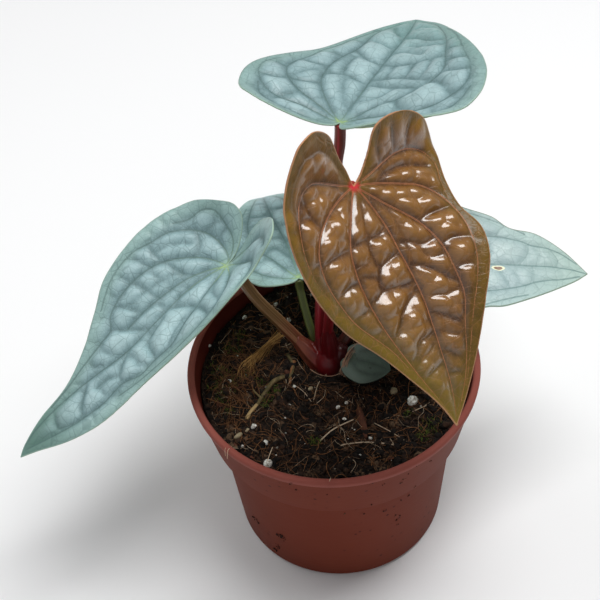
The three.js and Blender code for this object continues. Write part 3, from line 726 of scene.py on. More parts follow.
def leaf_sheet(leaf):
    """Square cells over the flat leaf, and each cell's distance from the margin."""
    outline = np.vstack([at_share(leaf["margins"][0], np.linspace(0, 1, 90)),
                         at_share(leaf["margins"][1], np.linspace(1, 0, 90))])
    low, high = outline.min(0) - 2, outline.max(0) + 2
    x, y = np.meshgrid(np.arange(low[0], high[0], STEP), np.arange(low[1], high[1], STEP))
    far = np.full(x.shape, 1e9)
    inside = np.zeros(x.shape, bool)
    for (ax, ay), (bx, by) in zip(outline, np.roll(outline, -1, 0)):
        span = max((bx - ax) ** 2 + (by - ay) ** 2, 1e-9)
        t = np.clip(((x - ax) * (bx - ax) + (y - ay) * (by - ay)) / span, 0, 1)
        far = np.minimum(far, (x - ax - t * (bx - ax)) ** 2 + (y - ay - t * (by - ay)) ** 2)
        crosses = ((ay > y) != (by > y)) & (x < (bx - ax) * (y - ay) / (by - ay + 1e-12) + ax)
        inside ^= crosses
    return {"low": low, "x": x, "y": y, "edge": np.sqrt(far) * np.where(inside, 1, -1)}

# %% [markdown]
# The seams are painted on the cells: the drawn veins first, then the borders between random
# cells. A distance to every vein at once would need far more memory than one line a time.

# %% Veins and net on the cells
def paint_vein(field, sheet, points, width, weight):
    """Raises the field along a line, fading over the width."""
    line = smooth_line(points, 4)
    for a, b in zip(line, line[1:]):
        low = ((np.minimum(a, b) - 3 * width - sheet["low"]) / STEP).astype(int)
        high = ((np.maximum(a, b) + 3 * width - sheet["low"]) / STEP).astype(int) + 2
        low = np.maximum(low, 0)
        part = (slice(low[1], max(high[1], 0)), slice(low[0], max(high[0], 0)))
        x, y = sheet["x"][part], sheet["y"][part]
        along = b - a
        t = np.clip(((x - a[0]) * along[0] + (y - a[1]) * along[1]) / (along @ along + 1e-9), 0, 1)
        gap = (x - a[0] - t * along[0]) ** 2 + (y - a[1] - t * along[1]) ** 2
        field[part] = np.maximum(field[part], weight * np.exp(-gap / width ** 2))


def cell_net(x, y, size, seed):
    """How near each place is to the border between random cells of this size: 1 on it."""
    i, j = np.floor(x / size), np.floor(y / size)
    nearest = np.full(x.shape, 1e9)
    second = np.full(x.shape, 1e9)
    for di in (-1, 0, 1):
        for dj in (-1, 0, 1):
            cx = (i + di + 0.15 + 0.7 * scatter(i + di + seed, j + dj)) * size
            cy = (j + dj + 0.15 + 0.7 * scatter(j + dj, i + di + seed + 31)) * size
            gap = np.hypot(x - cx, y - cy)
            second = np.minimum(second, np.maximum(nearest, gap))
            nearest = np.minimum(nearest, gap)
    return np.exp(-((second - nearest) / 0.7) ** 2)

# %% [markdown]
# Now the skin settles. Every place moves to the middle of its neighbours plus the load, and
# a stiff seam holds it down. A cloth simulation could do it too, but slower and less evenly.

# %% Let the skin settle between the veins
SKIN_SPAN, SEAM_WIDTH, SEAM_STIFFNESS, MARGIN_STIFFNESS = 6.0, 0.75, 5.0, 9.0
NET_SIZE, NET_STIFFNESS, BRONZE_NET_STIFFNESS = 6.6, 0.1, 0.35
BRONZE_WRINKLES = 0.35


def settle(stiff, load, rounds=130):
    """The height of a loaded skin, found by moving all places, odd and even ones in turn."""
    height = np.zeros(load.shape)
    i, j = np.indices(load.shape)
    for _ in range(rounds):
        for odd in (0, 1):
            around = np.zeros(load.shape)
            around[1:-1, 1:-1] = (height[:-2, 1:-1] + height[2:, 1:-1]
                                  + height[1:-1, :-2] + height[1:-1, 2:])
            target = (around + load) / (4 + stiff)
            height = np.where((i + j) % 2 == odd, height + 1.5 * (target - height), height)
    return height


def quilt(name):
    """The leaf's sheet with its pillows: height in mm, and the marks rise and vein."""
    leaf, bronze = LEAVES[name], name == "bronze"
    sheet = leaf_sheet(leaf)
    seams, lines = np.zeros(sheet["x"].shape), np.zeros(sheet["x"].shape)
    for weight, group in VEINS[name].items():
        for drawn_points in group:
            points = leaf.get("drawn", 1) * np.array(drawn_points, float)
            paint_vein(seams, sheet, points, SEAM_WIDTH, weight ** 2.2)
            paint_vein(lines, sheet, points, 0.3 + 0.35 * weight, weight)
    wander = 1.3 * bumps(sheet["x"], sheet["y"], 6.0)
    small = cell_net(sheet["x"] + wander, sheet["y"] - wander, NET_SIZE, len(name))
    stiff = STEP ** 2 / SKIN_SPAN ** 2 + SEAM_STIFFNESS * seams
    stiff = stiff + (BRONZE_NET_STIFFNESS if bronze else NET_STIFFNESS) * small
    stiff = np.where(sheet["edge"] < 0.2, MARGIN_STIFFNESS, stiff)
    load = STEP ** 2 * (0.45 + 0.55 * smooth_step(sheet["edge"] / 8))
    height = settle(stiff, load)
    full = np.percentile(height[sheet["edge"] > 3], 93)
    sheet["rise"] = height / full
    sheet["vein"] = np.where(sheet["edge"] > -1, lines, 0)
    wrinkle = 0.09 * bumps(sheet["x"], sheet["y"], 2.6) + 0.05 * bumps(sheet["y"], sheet["x"], 1.3)
    wrinkle = wrinkle * (BRONZE_WRINKLES if bronze else 1)
    body = smooth_step(sheet["edge"] / 2)
    sheet["height"] = leaf["puff"] * (0.93 * sheet["rise"] - 0.1 * lines * body) + wrinkle * body
    return sheet


def sample(sheet, field, x, y):
    """The field's value at flat places, read between the four nearest cells."""
    fx = np.clip((x - sheet["low"][0]) / STEP, 0, sheet["x"].shape[1] - 1.001)
    fy = np.clip((y - sheet["low"][1]) / STEP, 0, sheet["x"].shape[0] - 1.001)
    i, j = fx.astype(int), fy.astype(int)
    a, b = fx - i, fy - j
    grid = sheet[field]
    return mix(mix(grid[j, i], grid[j, i + 1], a), mix(grid[j + 1, i], grid[j + 1, i + 1], a), b)


SHEETS = {name: quilt(name) for name in LEAVES}
for name, sheet in SHEETS.items():
    print(name, sheet["x"].shape, "cells, relief", round(float(sheet["height"].max()), 2), "mm")

# %% [markdown]
# ## Leaf finishes
# The older leaves are blue-green with a silvery, satin skin, crossed by a fine dark net.
# On every leaf the pillows are painted paler as painted light and the valleys darker as
# painted shade. The youngest is brown and glossy, turning olive towards its tip, with red
# at the stalk. All finishes are one graph with different tones. It reads what the quilting
# measured: the rise of each place, the nearness of a vein and the distance from the margin.
# An image could carry all this, but it would blur.

# %% Layers of a leaf finish
def net_lines(m, flat):
    """A fine net of lines in two sizes, swayed so that it doesn't look ruled."""
    bend = add(m, "TexNoise", {"Vector": flat, "Scale": 0.35, "Detail": 2.0})
    swayed = add(m, "MixRGB", {0: 0.35, 1: flat, 2: bend.outputs["Color"]}, blend_type="ADD")
    masks = []
    for scale, width in ((0.21, 0.045), (0.5, 0.06)):
        cells = add(m, "TexVoronoi", {"Vector": swayed.outputs[0], "Scale": scale},
                    feature="DISTANCE_TO_EDGE")
        masks.append(between(m, cells.outputs["Distance"], width, 0.0))
    return combine(m, "MAXIMUM", masks[0], times(m, masks[1], 0.55))


def heart_share(m, place, away, near_vein, reach):
    """How far the stalk's colour runs on into the veins, the midrib above all."""
    near = times(m, between(m, away, reach, 1.0), between(m, near_vein, 0.72, 0.98))
    aside = combine(m, "ABSOLUTE", place["X"], 0.0)
    midrib = times(m, between(m, aside, 4.0, 2.0), between(m, place["Y"], -2.0, 1.0))
    most = add(m, "MapRange", {"Value": midrib, "To Min": 0.2, "To Max": 0.9})
    return times(m, near, most.outputs["Result"])


def scarred(m, colour, flat, centre):
    """A healed tear: a cream ring with a brown middle, long across the veins."""
    off = add(m, "VectorMath", {0: flat, 1: centre}, operation="SUBTRACT").outputs["Vector"]
    off = add(m, "VectorMath", {0: off, 1: (0.8, 0.36, 1)}, operation="MULTIPLY")
    off = add(m, "VectorMath", {0: off.outputs["Vector"]}, operation="LENGTH").outputs["Value"]
    colour = blend(m, between(m, off, 1.1, 0.95), colour, tone(226, 208, 178))
    return blend(m, between(m, off, 0.75, 0.6), colour, tone(120, 96, 78))

# %% [markdown]
# The finish stacks its layers from the ground tones up to the pale rim. The net and the
# veins come after the tones of margin and tip, so they stay visible out to the edge.

# %% Leaf finish
def leaf_finish(name, low, middle, high, vein, rim, heart, tip, rough, net, coat, grain,
                tip_rule, heart_reach=30.0, vein_share=(0.45, 0.95, 0.7), gloss=0.4,
                spot=None, margin=0.6, border=None, touched=0.3, scar=None):
    """Valleys get the low tone as painted shade and pillows the high one as painted light;
    tip, border, vein, heart and rim are laid over them.

    tip_rule weighs x and y, gives the span where the tip's tone fades in, and its share.
    """
    m, shader = new_material(name, Roughness=rough, Coat_Weight=coat, Coat_Roughness=0.16,
                             Coat_IOR=1.65, Specular_IOR_Level=gloss)
    flat = add(m, "Attribute", attribute_name="flat").outputs["Vector"]
    place = add(m, "SeparateXYZ", {"Vector": flat}).outputs
    rise, near_vein, edge = (measured(m, mark) for mark in ("rise", "vein", "edge"))
    if coat > 0.5:
        join(m, times(m, between(m, edge, 1.5, 8.0), coat), shader.inputs["Coat Weight"])
    mottle = times(m, combine(m, "SUBTRACT", noise(m, flat, 0.22, 5.0, 0.6), 0.5), 0.9)
    # The ramp over the rise paints shade into the valleys and light onto the pillow tops.
    ramp = add(m, "ValToRGB", {"Fac": combine(m, "ADD", rise, mottle)})
    ramp.color_ramp.elements[0].color, ramp.color_ramp.elements[1].color = low, high
    ramp.color_ramp.elements.new(0.38).color = middle
    speck = noise(m, flat, 1.7, 2.0, 0.7)
    colour = tinge(m, ramp.outputs["Color"], speck, (0.45, 0.8), grain, high)
    colour = tinge(m, colour, edge, (8.0, 1.5), margin, border or tip)
    toward_tip = combine(m, "ADD", times(m, place["Y"], tip_rule[1]),
                         times(m, place["X"], tip_rule[0]))
    colour = tinge(m, colour, toward_tip, tip_rule[2:4], tip_rule[4], tip)
    lines = net_lines(m, flat)
    colour = blend(m, times(m, lines, net), colour, vein)
    colour = tinge(m, colour, near_vein, vein_share[:2], vein_share[2], vein)
    away = add(m, "VectorMath", {0: flat}, operation="LENGTH").outputs["Value"]
    colour = blend(m, heart_share(m, place, away, near_vein, heart_reach), colour, heart)
    colour = tinge(m, colour, away, (3.5, 0.5), touched, heart)
    colour = tinge(m, colour, edge, (0.5, 0.1), 0.8, rim)
    if scar:
        colour = scarred(m, colour, flat, scar)
    if spot:
        off = add(m, "VectorMath", {0: own_place(m), 1: spot}, operation="DISTANCE")
        colour = blend(m, between(m, off.outputs["Value"], 0.0009, 0.0005), colour, low)
    join(m, colour, shader.inputs["Base Color"])
    fine = combine(m, "ADD", times(m, speck, 0.5), times(m, lines, -0.6))
    bump(m, shader, fine, 0.00022, 0.6)
    return m

# %% [markdown]
# The underside is paler and plainer, with its veins in another tone, and the cut edge has
# one tone. The silvery leaves share their tones, made lighter or darker as a whole for each
# leaf as painted light and shade.

# %% Undersides, edges and silver tones
def under_finish(name, ground, vein, rough):
    m, shader = new_material(name, Roughness=rough)
    flat = add(m, "Attribute", attribute_name="flat").outputs["Vector"]
    colour = blend(m, noise(m, flat, 0.3, 4.0), ground, scaled(ground, 0.72))
    cells = add(m, "TexVoronoi", {"Vector": flat, "Scale": 0.42}, feature="DISTANCE_TO_EDGE")
    thin = between(m, cells.outputs["Distance"], 0.06, 0.0)
    colour = blend(m, times(m, thin, 0.35), colour, vein)
    colour = blend(m, between(m, measured(m, "vein"), 0.2, 0.9), colour, vein)
    join(m, colour, shader.inputs["Base Color"])
    bump(m, shader, thin, 0.00015, 0.5)
    return m


def edge_finish(name, colour, rough):
    m, shader = new_material(name, Roughness=rough)
    shader.inputs["Base Color"].default_value = colour
    return m


def silver(painted_light):
    """The tones of a silvery leaf, all made lighter or darker by one factor as painted light and
    shade.
    """
    tones = dict(low=(90, 114, 116), middle=(123, 148, 151), high=(146, 170, 172),
                 border=(134, 162, 155), vein=(68, 92, 90), rim=(128, 152, 140),
                 heart=(134, 160, 106))
    lit = {key: scaled(tone(*rgb), painted_light) for key, rgb in tones.items()}
    return {"rough": 0.44, "net": 0.42, "coat": 0.05, "grain": 0.4, **lit}


# %% [markdown]
# Each leaf has its own age, and its tones also carry painted light and shade. The top and
# left ones are a little darker than the shared silver tones, the back-left one lies in shade
# and gets lighter ones as painted light, and the right leaf is the palest, partly as painted
# sheen, with a healed tear. The small leaf is dull, its dark tones partly painted shade, and
# has one dark spot.

# %% Finishes of the six leaves
# The factor given to silver() is painted light and shade: darker tones for the top and left
# leaves, lighter ones for the back-left leaf in shade.
FINISHES = {
    "top": leaf_finish("silver_top", tip=tone(84, 122, 114),
                       tip_rule=(0.006, 0.01, 0.45, 1.0, 0.45), **silver(0.8)),
    "left": leaf_finish("silver_left", tip=tone(66, 98, 86),
                        tip_rule=(0.004, 0.01, 0.72, 1.08, 0.8), **silver(0.92)),
    "back_left": leaf_finish("silver_back_left", tip=tone(110, 150, 160),
                             tip_rule=(0, 0.01, 0.5, 1.0, 0.3), **silver(1.42)),
    # The right leaf's pale tones are partly painted sheen.
    "right": leaf_finish(
        "silver_right", low=tone(127, 147, 148), middle=tone(144, 162, 163),
        high=tone(155, 172, 171), vein=tone(74, 100, 98), rim=tone(92, 102, 76),
        heart=tone(124, 148, 98), tip=tone(148, 169, 156), border=tone(152, 172, 168),
        rough=0.44, net=0.22, coat=0.05, grain=0.3, tip_rule=(0, 0.01, 0.4, 0.9, 0.6),
        scar=(1.0, 43.3, 0)),
    "bronze": leaf_finish(
        "bronze_gloss", low=tone(58, 34, 12), middle=tone(100, 66, 24), high=tone(114, 78, 32),
        vein=tone(136, 90, 56), rim=tone(160, 118, 86), heart=tone(170, 36, 46),
        tip=tone(100, 84, 30), rough=0.32, net=0.25, coat=1.0, grain=0.15,
        tip_rule=(0.012, 0.0101, 0.45, 0.98, 0.85), heart_reach=8.0,
        vein_share=(0.75, 1.0, 0.3), gloss=0.25, margin=0.4, touched=0.8),
    # The small leaf's dark tones are partly painted shade from the bronze leaf above it.
    "small": leaf_finish(
        "dull_teal_painted_shade", low=tone(66, 77, 70), middle=tone(78, 90, 82), high=tone(86, 99, 91),
        vein=tone(60, 73, 66), rim=tone(84, 96, 86), heart=tone(76, 90, 68),
        tip=tone(78, 90, 82), rough=0.55, net=0.12, coat=0.0, grain=0.2,
        tip_rule=(0, 0.05, 0.5, 1.0, 0.2), heart_reach=4.0, margin=0.0,
        spot=(0.015, -0.0044, 0.0913)),
}
pale_under = under_finish("pale_underside", tone(124, 150, 134), tone(104, 132, 104), 0.5)
red_under = under_finish("rosy_underside", tone(136, 92, 62), tone(150, 60, 50), 0.4)
silver_rim = edge_finish("leaf_edge_pale", tone(132, 156, 140), 0.45)
# The small leaf's dark edge tone is partly painted shade.
dull_rim_painted_shade = edge_finish("leaf_edge_dull_painted_shade", tone(60, 72, 64), 0.5)
bronze_rim = edge_finish("leaf_edge_rosy", tone(150, 108, 78), 0.4)
print(len(FINISHES), "leaf finishes")

# %% [markdown]
# ## Blades
# Each blade is one bent grid whose rows follow the side veins. Its corners carry the
# measures that the finish reads. A solidify modifier then gives the real, thin leaf its
# thickness, with the paler underside and the edge as materials of their own.

# %% Build the blades
def make_blade(name, columns, rows, under, rim, slot):
    leaf, sheet = LEAVES[name], SHEETS[name]

    def rule(across, along):
        x, y = flat_place(leaf, across, along)
        return on_blade(leaf, x, y, sample(sheet, "height", x, y))

    def marks(across, along):
        x, y = flat_place(leaf, across, along)
        carried = {key: sample(sheet, key, x, y) for key in ("rise", "vein", "edge")}
        return {"flat": np.stack([x, y, 0 * x], -1), **carried}

    bm = bent_grid(columns, rows, rule, marks, 2e-6)
    wanted = axes_of(leaf)[2]
    if sum(f.normal @ Vector(wanted) for f in bm.faces) < 0:
        bmesh.ops.reverse_faces(bm, faces=bm.faces)
    blade = show("blade_" + name, bm, [FINISHES[name], under, rim], node="leaf_" + name)
    wall = blade.modifiers.new("thickness", "SOLIDIFY")
    wall.thickness = BLADE_THICKNESS
    wall.offset = 0
    wall.material_offset = 1
    wall.material_offset_rim = 2


BLADE_LOOKS = {"bronze": (120, 216, red_under, bronze_rim, "leaf_bronze"),
               "small": (44, 60, pale_under, dull_rim_painted_shade, "leaf_dull")}
for name in LEAVES:
    look = BLADE_LOOKS.get(name, (120, 216, pale_under, silver_rim, "leaf_silver"))
    make_blade(name, *look)
# %% [markdown]
# ## Stalks
# A leaf stalk leaves the crown in a soft curve and swells into a knee right under its
# blade. It is a bent grid closed into a tube around the curve. A bevelled curve object
# would be quicker, but it can't have the groove with its two ribs on the upper side.

# %% The curve of every stalk
CROWN = np.array([-3, 8.5, 79])
KNEE_STARTS, KNEE_LENGTH = 0.86, 0.07
STALKS = {
    "top": dict(through=[(-3.8, 10.5, 86), (-4, 12.8, 102), (0.5, 24, 134), (7.5, 40, 161)],
                ends=(2.4, 1.7), swell=0.5, sheath=0.17, face=(0.5, -1, 0.1), groove=0.12),
    "bronze": dict(through=[(-1.4, 8, 86), (-1.1, 8.2, 102), (3, 3, 140), (7, -5, 174)],
                   ends=(2.3, 1.6), swell=0.5, sheath=0.20, face=(-0.2, -1, 0.1), groove=0.14),
    "left": dict(through=[(-7.5, 9.5, 85.5), (-12.5, 12.2, 91), (-20.5, 15.4, 101.5),
                          (-29.3, 18.9, 113.5)],
                 ends=(3.1, 2.1), swell=0.6, sheath=0.32, face=(0.35, -0.5, 0.75), groove=0.2),
    "back_left": dict(through=[(-5.5, 13.3, 86), (-8, 17.4, 94)],
                      ends=(1.9, 1.6), swell=0.2, sheath=0.22, face=(0.1, -0.8, 0.5), groove=0.2),
    "right": dict(through=[(1.5, 9.5, 85), (6.5, 12.5, 92), (15, 16.5, 104)],
                  ends=(2.9, 1.8), swell=0.5, sheath=0.27, face=(-0.2, -0.7, 0.7), groove=0.16),
    "small": dict(through=[(1, 5.5, 85), (4.4, 3.2, 88.4)],
                  ends=(1.2, 0.9), swell=0.1, sheath=0.5, face=(0, -0.7, 0.7), groove=0.08),
}


def stalk_line(name):
    """The stalk's centre line, from deep in the crown to just under its blade.

    The steps are weighed by the root of their length, so a short one makes no loop.
    """
    leaf = LEAVES[name]
    _, along, out = axes_of(leaf)
    end = np.array(leaf["at"]) - 0.75 * out
    below = end - leaf["length"] * (0.05 * out + 0.015 * along)
    p = np.array([CROWN, *STALKS[name]["through"], below, end], float)
    p = np.vstack([2 * p[0] - p[1], p, 2 * p[-1] - p[-2]])
    t = np.linspace(0, 1, 40, endpoint=False)[:, None]
    spans = []
    for a, b, c, d in zip(p, p[1:], p[2:], p[3:]):
        first, middle, last = (np.linalg.norm(v) ** 0.5 for v in (b - a, c - b, d - c))
        m = ((b - a) / first - (c - a) / (first + middle)) * middle + (c - b)
        n = (c - b) + ((d - c) / last - (d - b) / (middle + last)) * middle
        spans.append(arc(t, b, c, m, n))
    return np.vstack(spans + [p[-2:-1]])


def stalk_radius(name, share):
    stalk = STALKS[name]
    start, end = stalk["ends"]
    knee = smooth_step((share - KNEE_STARTS) / KNEE_LENGTH)
    return mix(start, end, share) + stalk["swell"] * knee


LINES = {name: stalk_line(name) for name in STALKS}
for name, line in LINES.items():
    print(name, "stalk", round(float(np.linalg.norm(np.diff(line, axis=0), axis=1).sum())), "mm")

# %% [markdown]
# A grid is rolled into a tube round such a line. Its corners note where they lie round the
# tube and along it, for streaks and grooves. Skinned edges would be quicker to make, but
# their sections twist in tight bends.

# %% A tube along a line
def tube(line, shares, radius, face, columns, rows, outline=None, tint=0.5):
    """A closed tube in metres; radius(share) in mm, outline(angle) stretches the section."""
    def spots(across, along):
        s = mix(shares[0], shares[1], along)
        after, before = np.minimum(s + 0.004, 1), np.maximum(s - 0.004, 0)
        ahead = at_share(line, after) - at_share(line, before)
        ahead /= np.linalg.norm(ahead, axis=1)[:, None]
        side = np.cross(ahead, np.array(face, float))
        side /= np.linalg.norm(side, axis=1)[:, None]
        front = np.cross(side, ahead)
        angle = across * 2 * np.pi
        size = radius(s) * (1 if outline is None else outline(angle))
        ring = (np.cos(angle) * size)[:, None] * front + (np.sin(angle) * size)[:, None] * side
        return (at_share(line, s) + ring) * MM

    def marks(across, along):
        angle = across * 2 * np.pi
        s = mix(shares[0], shares[1], along)
        return {"around": np.stack([np.cos(angle), np.sin(angle), s], -1),
                "tint": np.full(across.shape, tint)}

    bm = bent_grid(columns, rows, spots, marks)
    bmesh.ops.holes_fill(bm, edges=[e for e in bm.edges if e.is_boundary], sides=0)
    bmesh.ops.recalc_face_normals(bm, faces=bm.faces)
    return bm


def gather(parts):
    """One bmesh from many."""
    whole = bmesh.new()
    for bm in parts:
        mesh = bpy.data.meshes.new("gathered")
        bm.to_mesh(mesh)
        bm.free()
        whole.from_mesh(mesh)
        bpy.data.meshes.remove(mesh)
    return whole


# %% [markdown]
# ## Raised veins
# On the youngest leaf the main veins stand out as thin, paired, rosy lines. Under every
# large leaf the veins are round ribs, which is what stiffens the blade. They are tubes
# laid along the drawn veins, on the face of the blade and below it. A bump in the finish
# would do on the face, but from below the ribs are seen against the light.

# %% Ribs along the veins
def fibre_finish(name, dark, pale, rough=0.8):
    m, shader = new_material(name, Roughness=rough)
    mottle = noise(m, own_place(m), 500.0, 3.0)
    share = combine(m, "ADD", measured(m, "tint"),
                    times(m, combine(m, "SUBTRACT", mottle, 0.5), 0.8))
    join(m, blend(m, between(m, share, 0.0, 1.0), dark, pale), shader.inputs["Base Color"])
    bump(m, shader, mottle, 0.0002, 0.6)
    return m


def vein_ribs(name, least, start, end, side, apart=0.0):
    """Tubes along the veins of at least this weight, above (1) or below (-1) the blade."""
    leaf, sheet = LEAVES[name], SHEETS[name]
    out = axes_of(leaf)[2]
    ribs = []
    for weight, group in VEINS[name].items():
        for drawn_points in group if weight >= least else []:
            flat = smooth_line(leaf.get("drawn", 1) * np.array(drawn_points, float), 8)
            flat = flat[sample(sheet, "edge", flat[:, 0], flat[:, 1]) > 1.2]
            if len(flat) < 8:
                continue
            run = np.linspace(0, 1, len(flat))[:, None]
            ahead = np.gradient(flat, axis=0)
            ahead /= np.linalg.norm(ahead, axis=1)[:, None]
            sideways = np.stack([ahead[:, 1], -ahead[:, 0]], -1)
            for shift in (-apart, apart) if apart else (0,):
                spot = flat + shift * (1 - run) * sideways
                level = sample(sheet, "height", spot[:, 0], spot[:, 1]) + 0.3 * side
                line = on_blade(leaf, spot[:, 0], spot[:, 1], level) / MM
                ribs.append(tube(line, (0, 1), lambda s: mix(start, end, s) * weight, out,
                                 6, min(len(flat), 56)))
    return gather(ribs)


rosy = fibre_finish("vein_rosy", tone(112, 66, 40), tone(168, 116, 82), 0.35)
pale_rib = fibre_finish("rib_pale", tone(120, 142, 104), tone(168, 184, 140), 0.5)
red_rib = fibre_finish("rib_red", tone(120, 44, 36), tone(166, 92, 66), 0.45)
show("veins_bronze", vein_ribs("bronze", 1.0, 0.13, 0.06, 1, 0.25), [rosy])
for name in LEAVES:
    if name != "small":
        bronze = name == "bronze"
        show("ribs_" + name, vein_ribs(name, 0.6, 0.6, 0.16, -1),
             [red_rib if bronze else pale_rib])

# %% [markdown]
# ## Stalk finishes
# The stalks of the upright leaves are deep red and shiny, the older ones turn olive and
# brown away from the crown. Fine streaks run along all of them. A pale line on each rib is a
# painted highlight, and the groove between the ribs is darkened as painted shade. All are
# read from the marks on the tube's corners, so they follow the bend, which a picture wrapped
# round the stalk wouldn't.

# %% Paint and build the stalks
def stalk_finish(name, base, tip, streak, turn):
    """The base colour turns into the tip's over this span of the stalk's length."""
    m, shader = new_material(name, Roughness=0.34, Coat_Weight=0.2, Coat_Roughness=0.2)
    around = add(m, "Attribute", attribute_name="around").outputs["Vector"]
    parts = add(m, "SeparateXYZ", {"Vector": around}).outputs
    colour = blend(m, between(m, parts["Z"], *turn), base, tip)
    lines = noise(m, stretched(m, around, (3.2, 3.2, 1.6)), 1.6, 4.0, 0.6)
    colour = tinge(m, colour, lines, (0.42, 0.72), 0.75, streak)
    spots = noise(m, own_place(m), 900.0, 2.0)
    colour = tinge(m, colour, spots, (0.6, 0.75), 0.3, scaled(base, 0.35))
    # A pale line along each rib, a painted highlight.
    off_rib = combine(m, "ABSOLUTE", combine(m, "SUBTRACT", parts["X"], 0.62), 0.0)
    colour = tinge(m, colour, off_rib, (0.12, 0.03), 0.55, streak)
    # The groove between the ribs is darkened as painted shade.
    colour = tinge(m, colour, parts["X"], (0.8, 0.97), 0.45, scaled(tip, 0.3))
    join(m, colour, shader.inputs["Base Color"])
    bump(m, shader, lines, 0.0002, 0.5)
    return m


STALK_PAINT = {
    "top": stalk_finish("stalk_red_tall", tone(98, 12, 20), tone(96, 44, 34), tone(136, 40, 48),
                        (0.45, 0.95)),
    "bronze": stalk_finish("stalk_red_front", tone(98, 12, 20), tone(120, 50, 38),
                           tone(140, 46, 52), (0.5, 0.98)),
    "left": stalk_finish("stalk_brown_paint", tone(88, 44, 30), tone(82, 62, 36),
                         tone(138, 106, 74), (0.32, 0.55)),
    "back_left": stalk_finish("stalk_olive_paint", tone(58, 40, 22), tone(66, 74, 36),
                              tone(92, 98, 54), (0.2, 0.5)),
    "right": stalk_finish("stalk_dark_paint", tone(52, 18, 18), tone(64, 56, 34),
                          tone(80, 46, 38), (0.3, 0.8)),
    "small": stalk_finish("stalk_small_paint", tone(62, 34, 24), tone(56, 62, 42),
                          tone(84, 74, 54), (0.45, 0.8)),
}


def grooved(depth):
    """A round section with a shallow groove at angle 0 between two ribs."""
    def outline(angle):
        off = np.minimum(angle, 2 * np.pi - angle)
        rib = np.exp(-((off - 0.85) / 0.2) ** 2)
        low = np.exp(-(off / 0.55) ** 2)
        return 1 - depth * low + 0.35 * depth * rib + 0.012 * np.cos(9 * angle)
    return outline


for name, stalk in STALKS.items():
    bm = tube(LINES[name], (0.7 * stalk["sheath"], 1), lambda s: stalk_radius(name, s),
              stalk["face"], 48, 110, grooved(stalk["groove"]))
    show("stalk_tube_" + name, bm, [STALK_PAINT[name]], node="stalk_" + name)

# %% [markdown]
# ## Crown
# At the base all stalks widen into sheaths that clasp each other and form a glossy, deep
# red heart. On the plant they grew out of one another, so here they are tubes joined into
# one skin by a voxel remesh. Two round cores fill the hollow between them. Joining by hand
# would leave seams.

# %% Join the sheaths
SHEATH_FOOT = 5.6
CORES = (((-1.8, 6.2, 84), (6.6, 7.2, 8)), ((3.4, 6.6, 86), (4.8, 5.0, 7.6)))


def sheath_radius(name, share):
    """Wide at the foot, and at the end a little thinner than the stalk, to meet it inside."""
    full = np.minimum(1, share / STALKS[name]["sheath"])
    slack = 0.5 - 0.85 * smooth_step((full - 0.6) / 0.4)
    return mix(SHEATH_FOOT, stalk_radius(name, share) + slack, full ** 0.8)


def fluted(angle):
    return 1 + 0.08 * np.cos(7 * angle) + 0.035 * np.cos(16 * angle + 1)


def leaning_line(name):
    """The stalk's line with its lowest part leaning out of the crown to the front."""
    share = np.linspace(0, 1, 400)
    below = np.maximum(1 - share / STALKS[name]["sheath"], 0) ** 1.3
    return at_share(LINES[name], share) + below[:, None] * np.array([1.2, -3.4, 0.5])


sheaths = []
for name, stalk in STALKS.items():
    sheaths.append(tube(leaning_line(name), (0, stalk["sheath"]),
                        lambda s: sheath_radius(name, s), stalk["face"], 60, 40, fluted))
for centre, radii in CORES:
    core = bmesh.new()
    core_place = Matrix.Translation(Vector(centre) * MM) @ Matrix.Diagonal((*radii, 1))
    bmesh.ops.create_icosphere(core, subdivisions=5, radius=MM, matrix=core_place)
    sheaths.append(core)
bm = gather(sheaths)

# %% [markdown]
# The crown's red is deepest at its left front, turns nearly black to the right and brown
# where the left stalk leaves it. Its streaks fan out upwards like the stalks, because
# they are a noise over the slope of each place seen from a point below the crown.

# %% Paint the crown and close its skin
def crown_finish():
    m, shader = new_material("crown_gloss", Roughness=0.34, Coat_Weight=0.18,
                             Coat_Roughness=0.18)
    here = own_place(m)
    lower = add(m, "Mapping", {"Vector": here, "Location": (0.003, 0.0, -0.066)})
    place = add(m, "SeparateXYZ", {"Vector": lower.outputs["Vector"]}).outputs
    fan = combine(m, "DIVIDE", place["X"], place["Z"])
    streaks = add(m, "CombineXYZ", {"X": fan, "Y": place["Y"], "Z": times(m, place["Z"], 8.0)})
    lines = noise(m, streaks.outputs["Vector"], 9.0, 4.0, 0.6)
    colour = blend(m, between(m, fan, -0.1, 0.4), tone(78, 6, 12), tone(36, 10, 10))
    reach = add(m, "SeparateXYZ", {"Vector": here}).outputs["X"]
    colour = blend(m, between(m, reach, -0.0045, -0.0125), colour, tone(88, 44, 30))
    colour = tinge(m, colour, lines, (0.5, 0.8), 0.45, tone(116, 36, 38))
    cloud = noise(m, here, 260.0, 3.0)
    colour = tinge(m, colour, cloud, (0.5, 0.8), 0.4, tone(34, 6, 8))
    join(m, colour, shader.inputs["Base Color"])
    bump(m, shader, lines, 0.0006, 0.8)
    return m


crown = show("crown_skin", bm, [crown_finish()], node="crown")
skin = crown.modifiers.new("one_skin", "REMESH")
skin.mode = "VOXEL"
skin.voxel_size = 0.4 * MM
skin.use_smooth_shade = True
soft = crown.modifiers.new("soften", "SMOOTH")
soft.factor = 0.5
soft.iterations = 3

# %% [markdown]
# ## Buried stem
# The stem below the crown is buried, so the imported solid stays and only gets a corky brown
# finish. Its two tones and its relief come from one fine noise, as on all loose bits of
# the soil, so this graph is a helper too.

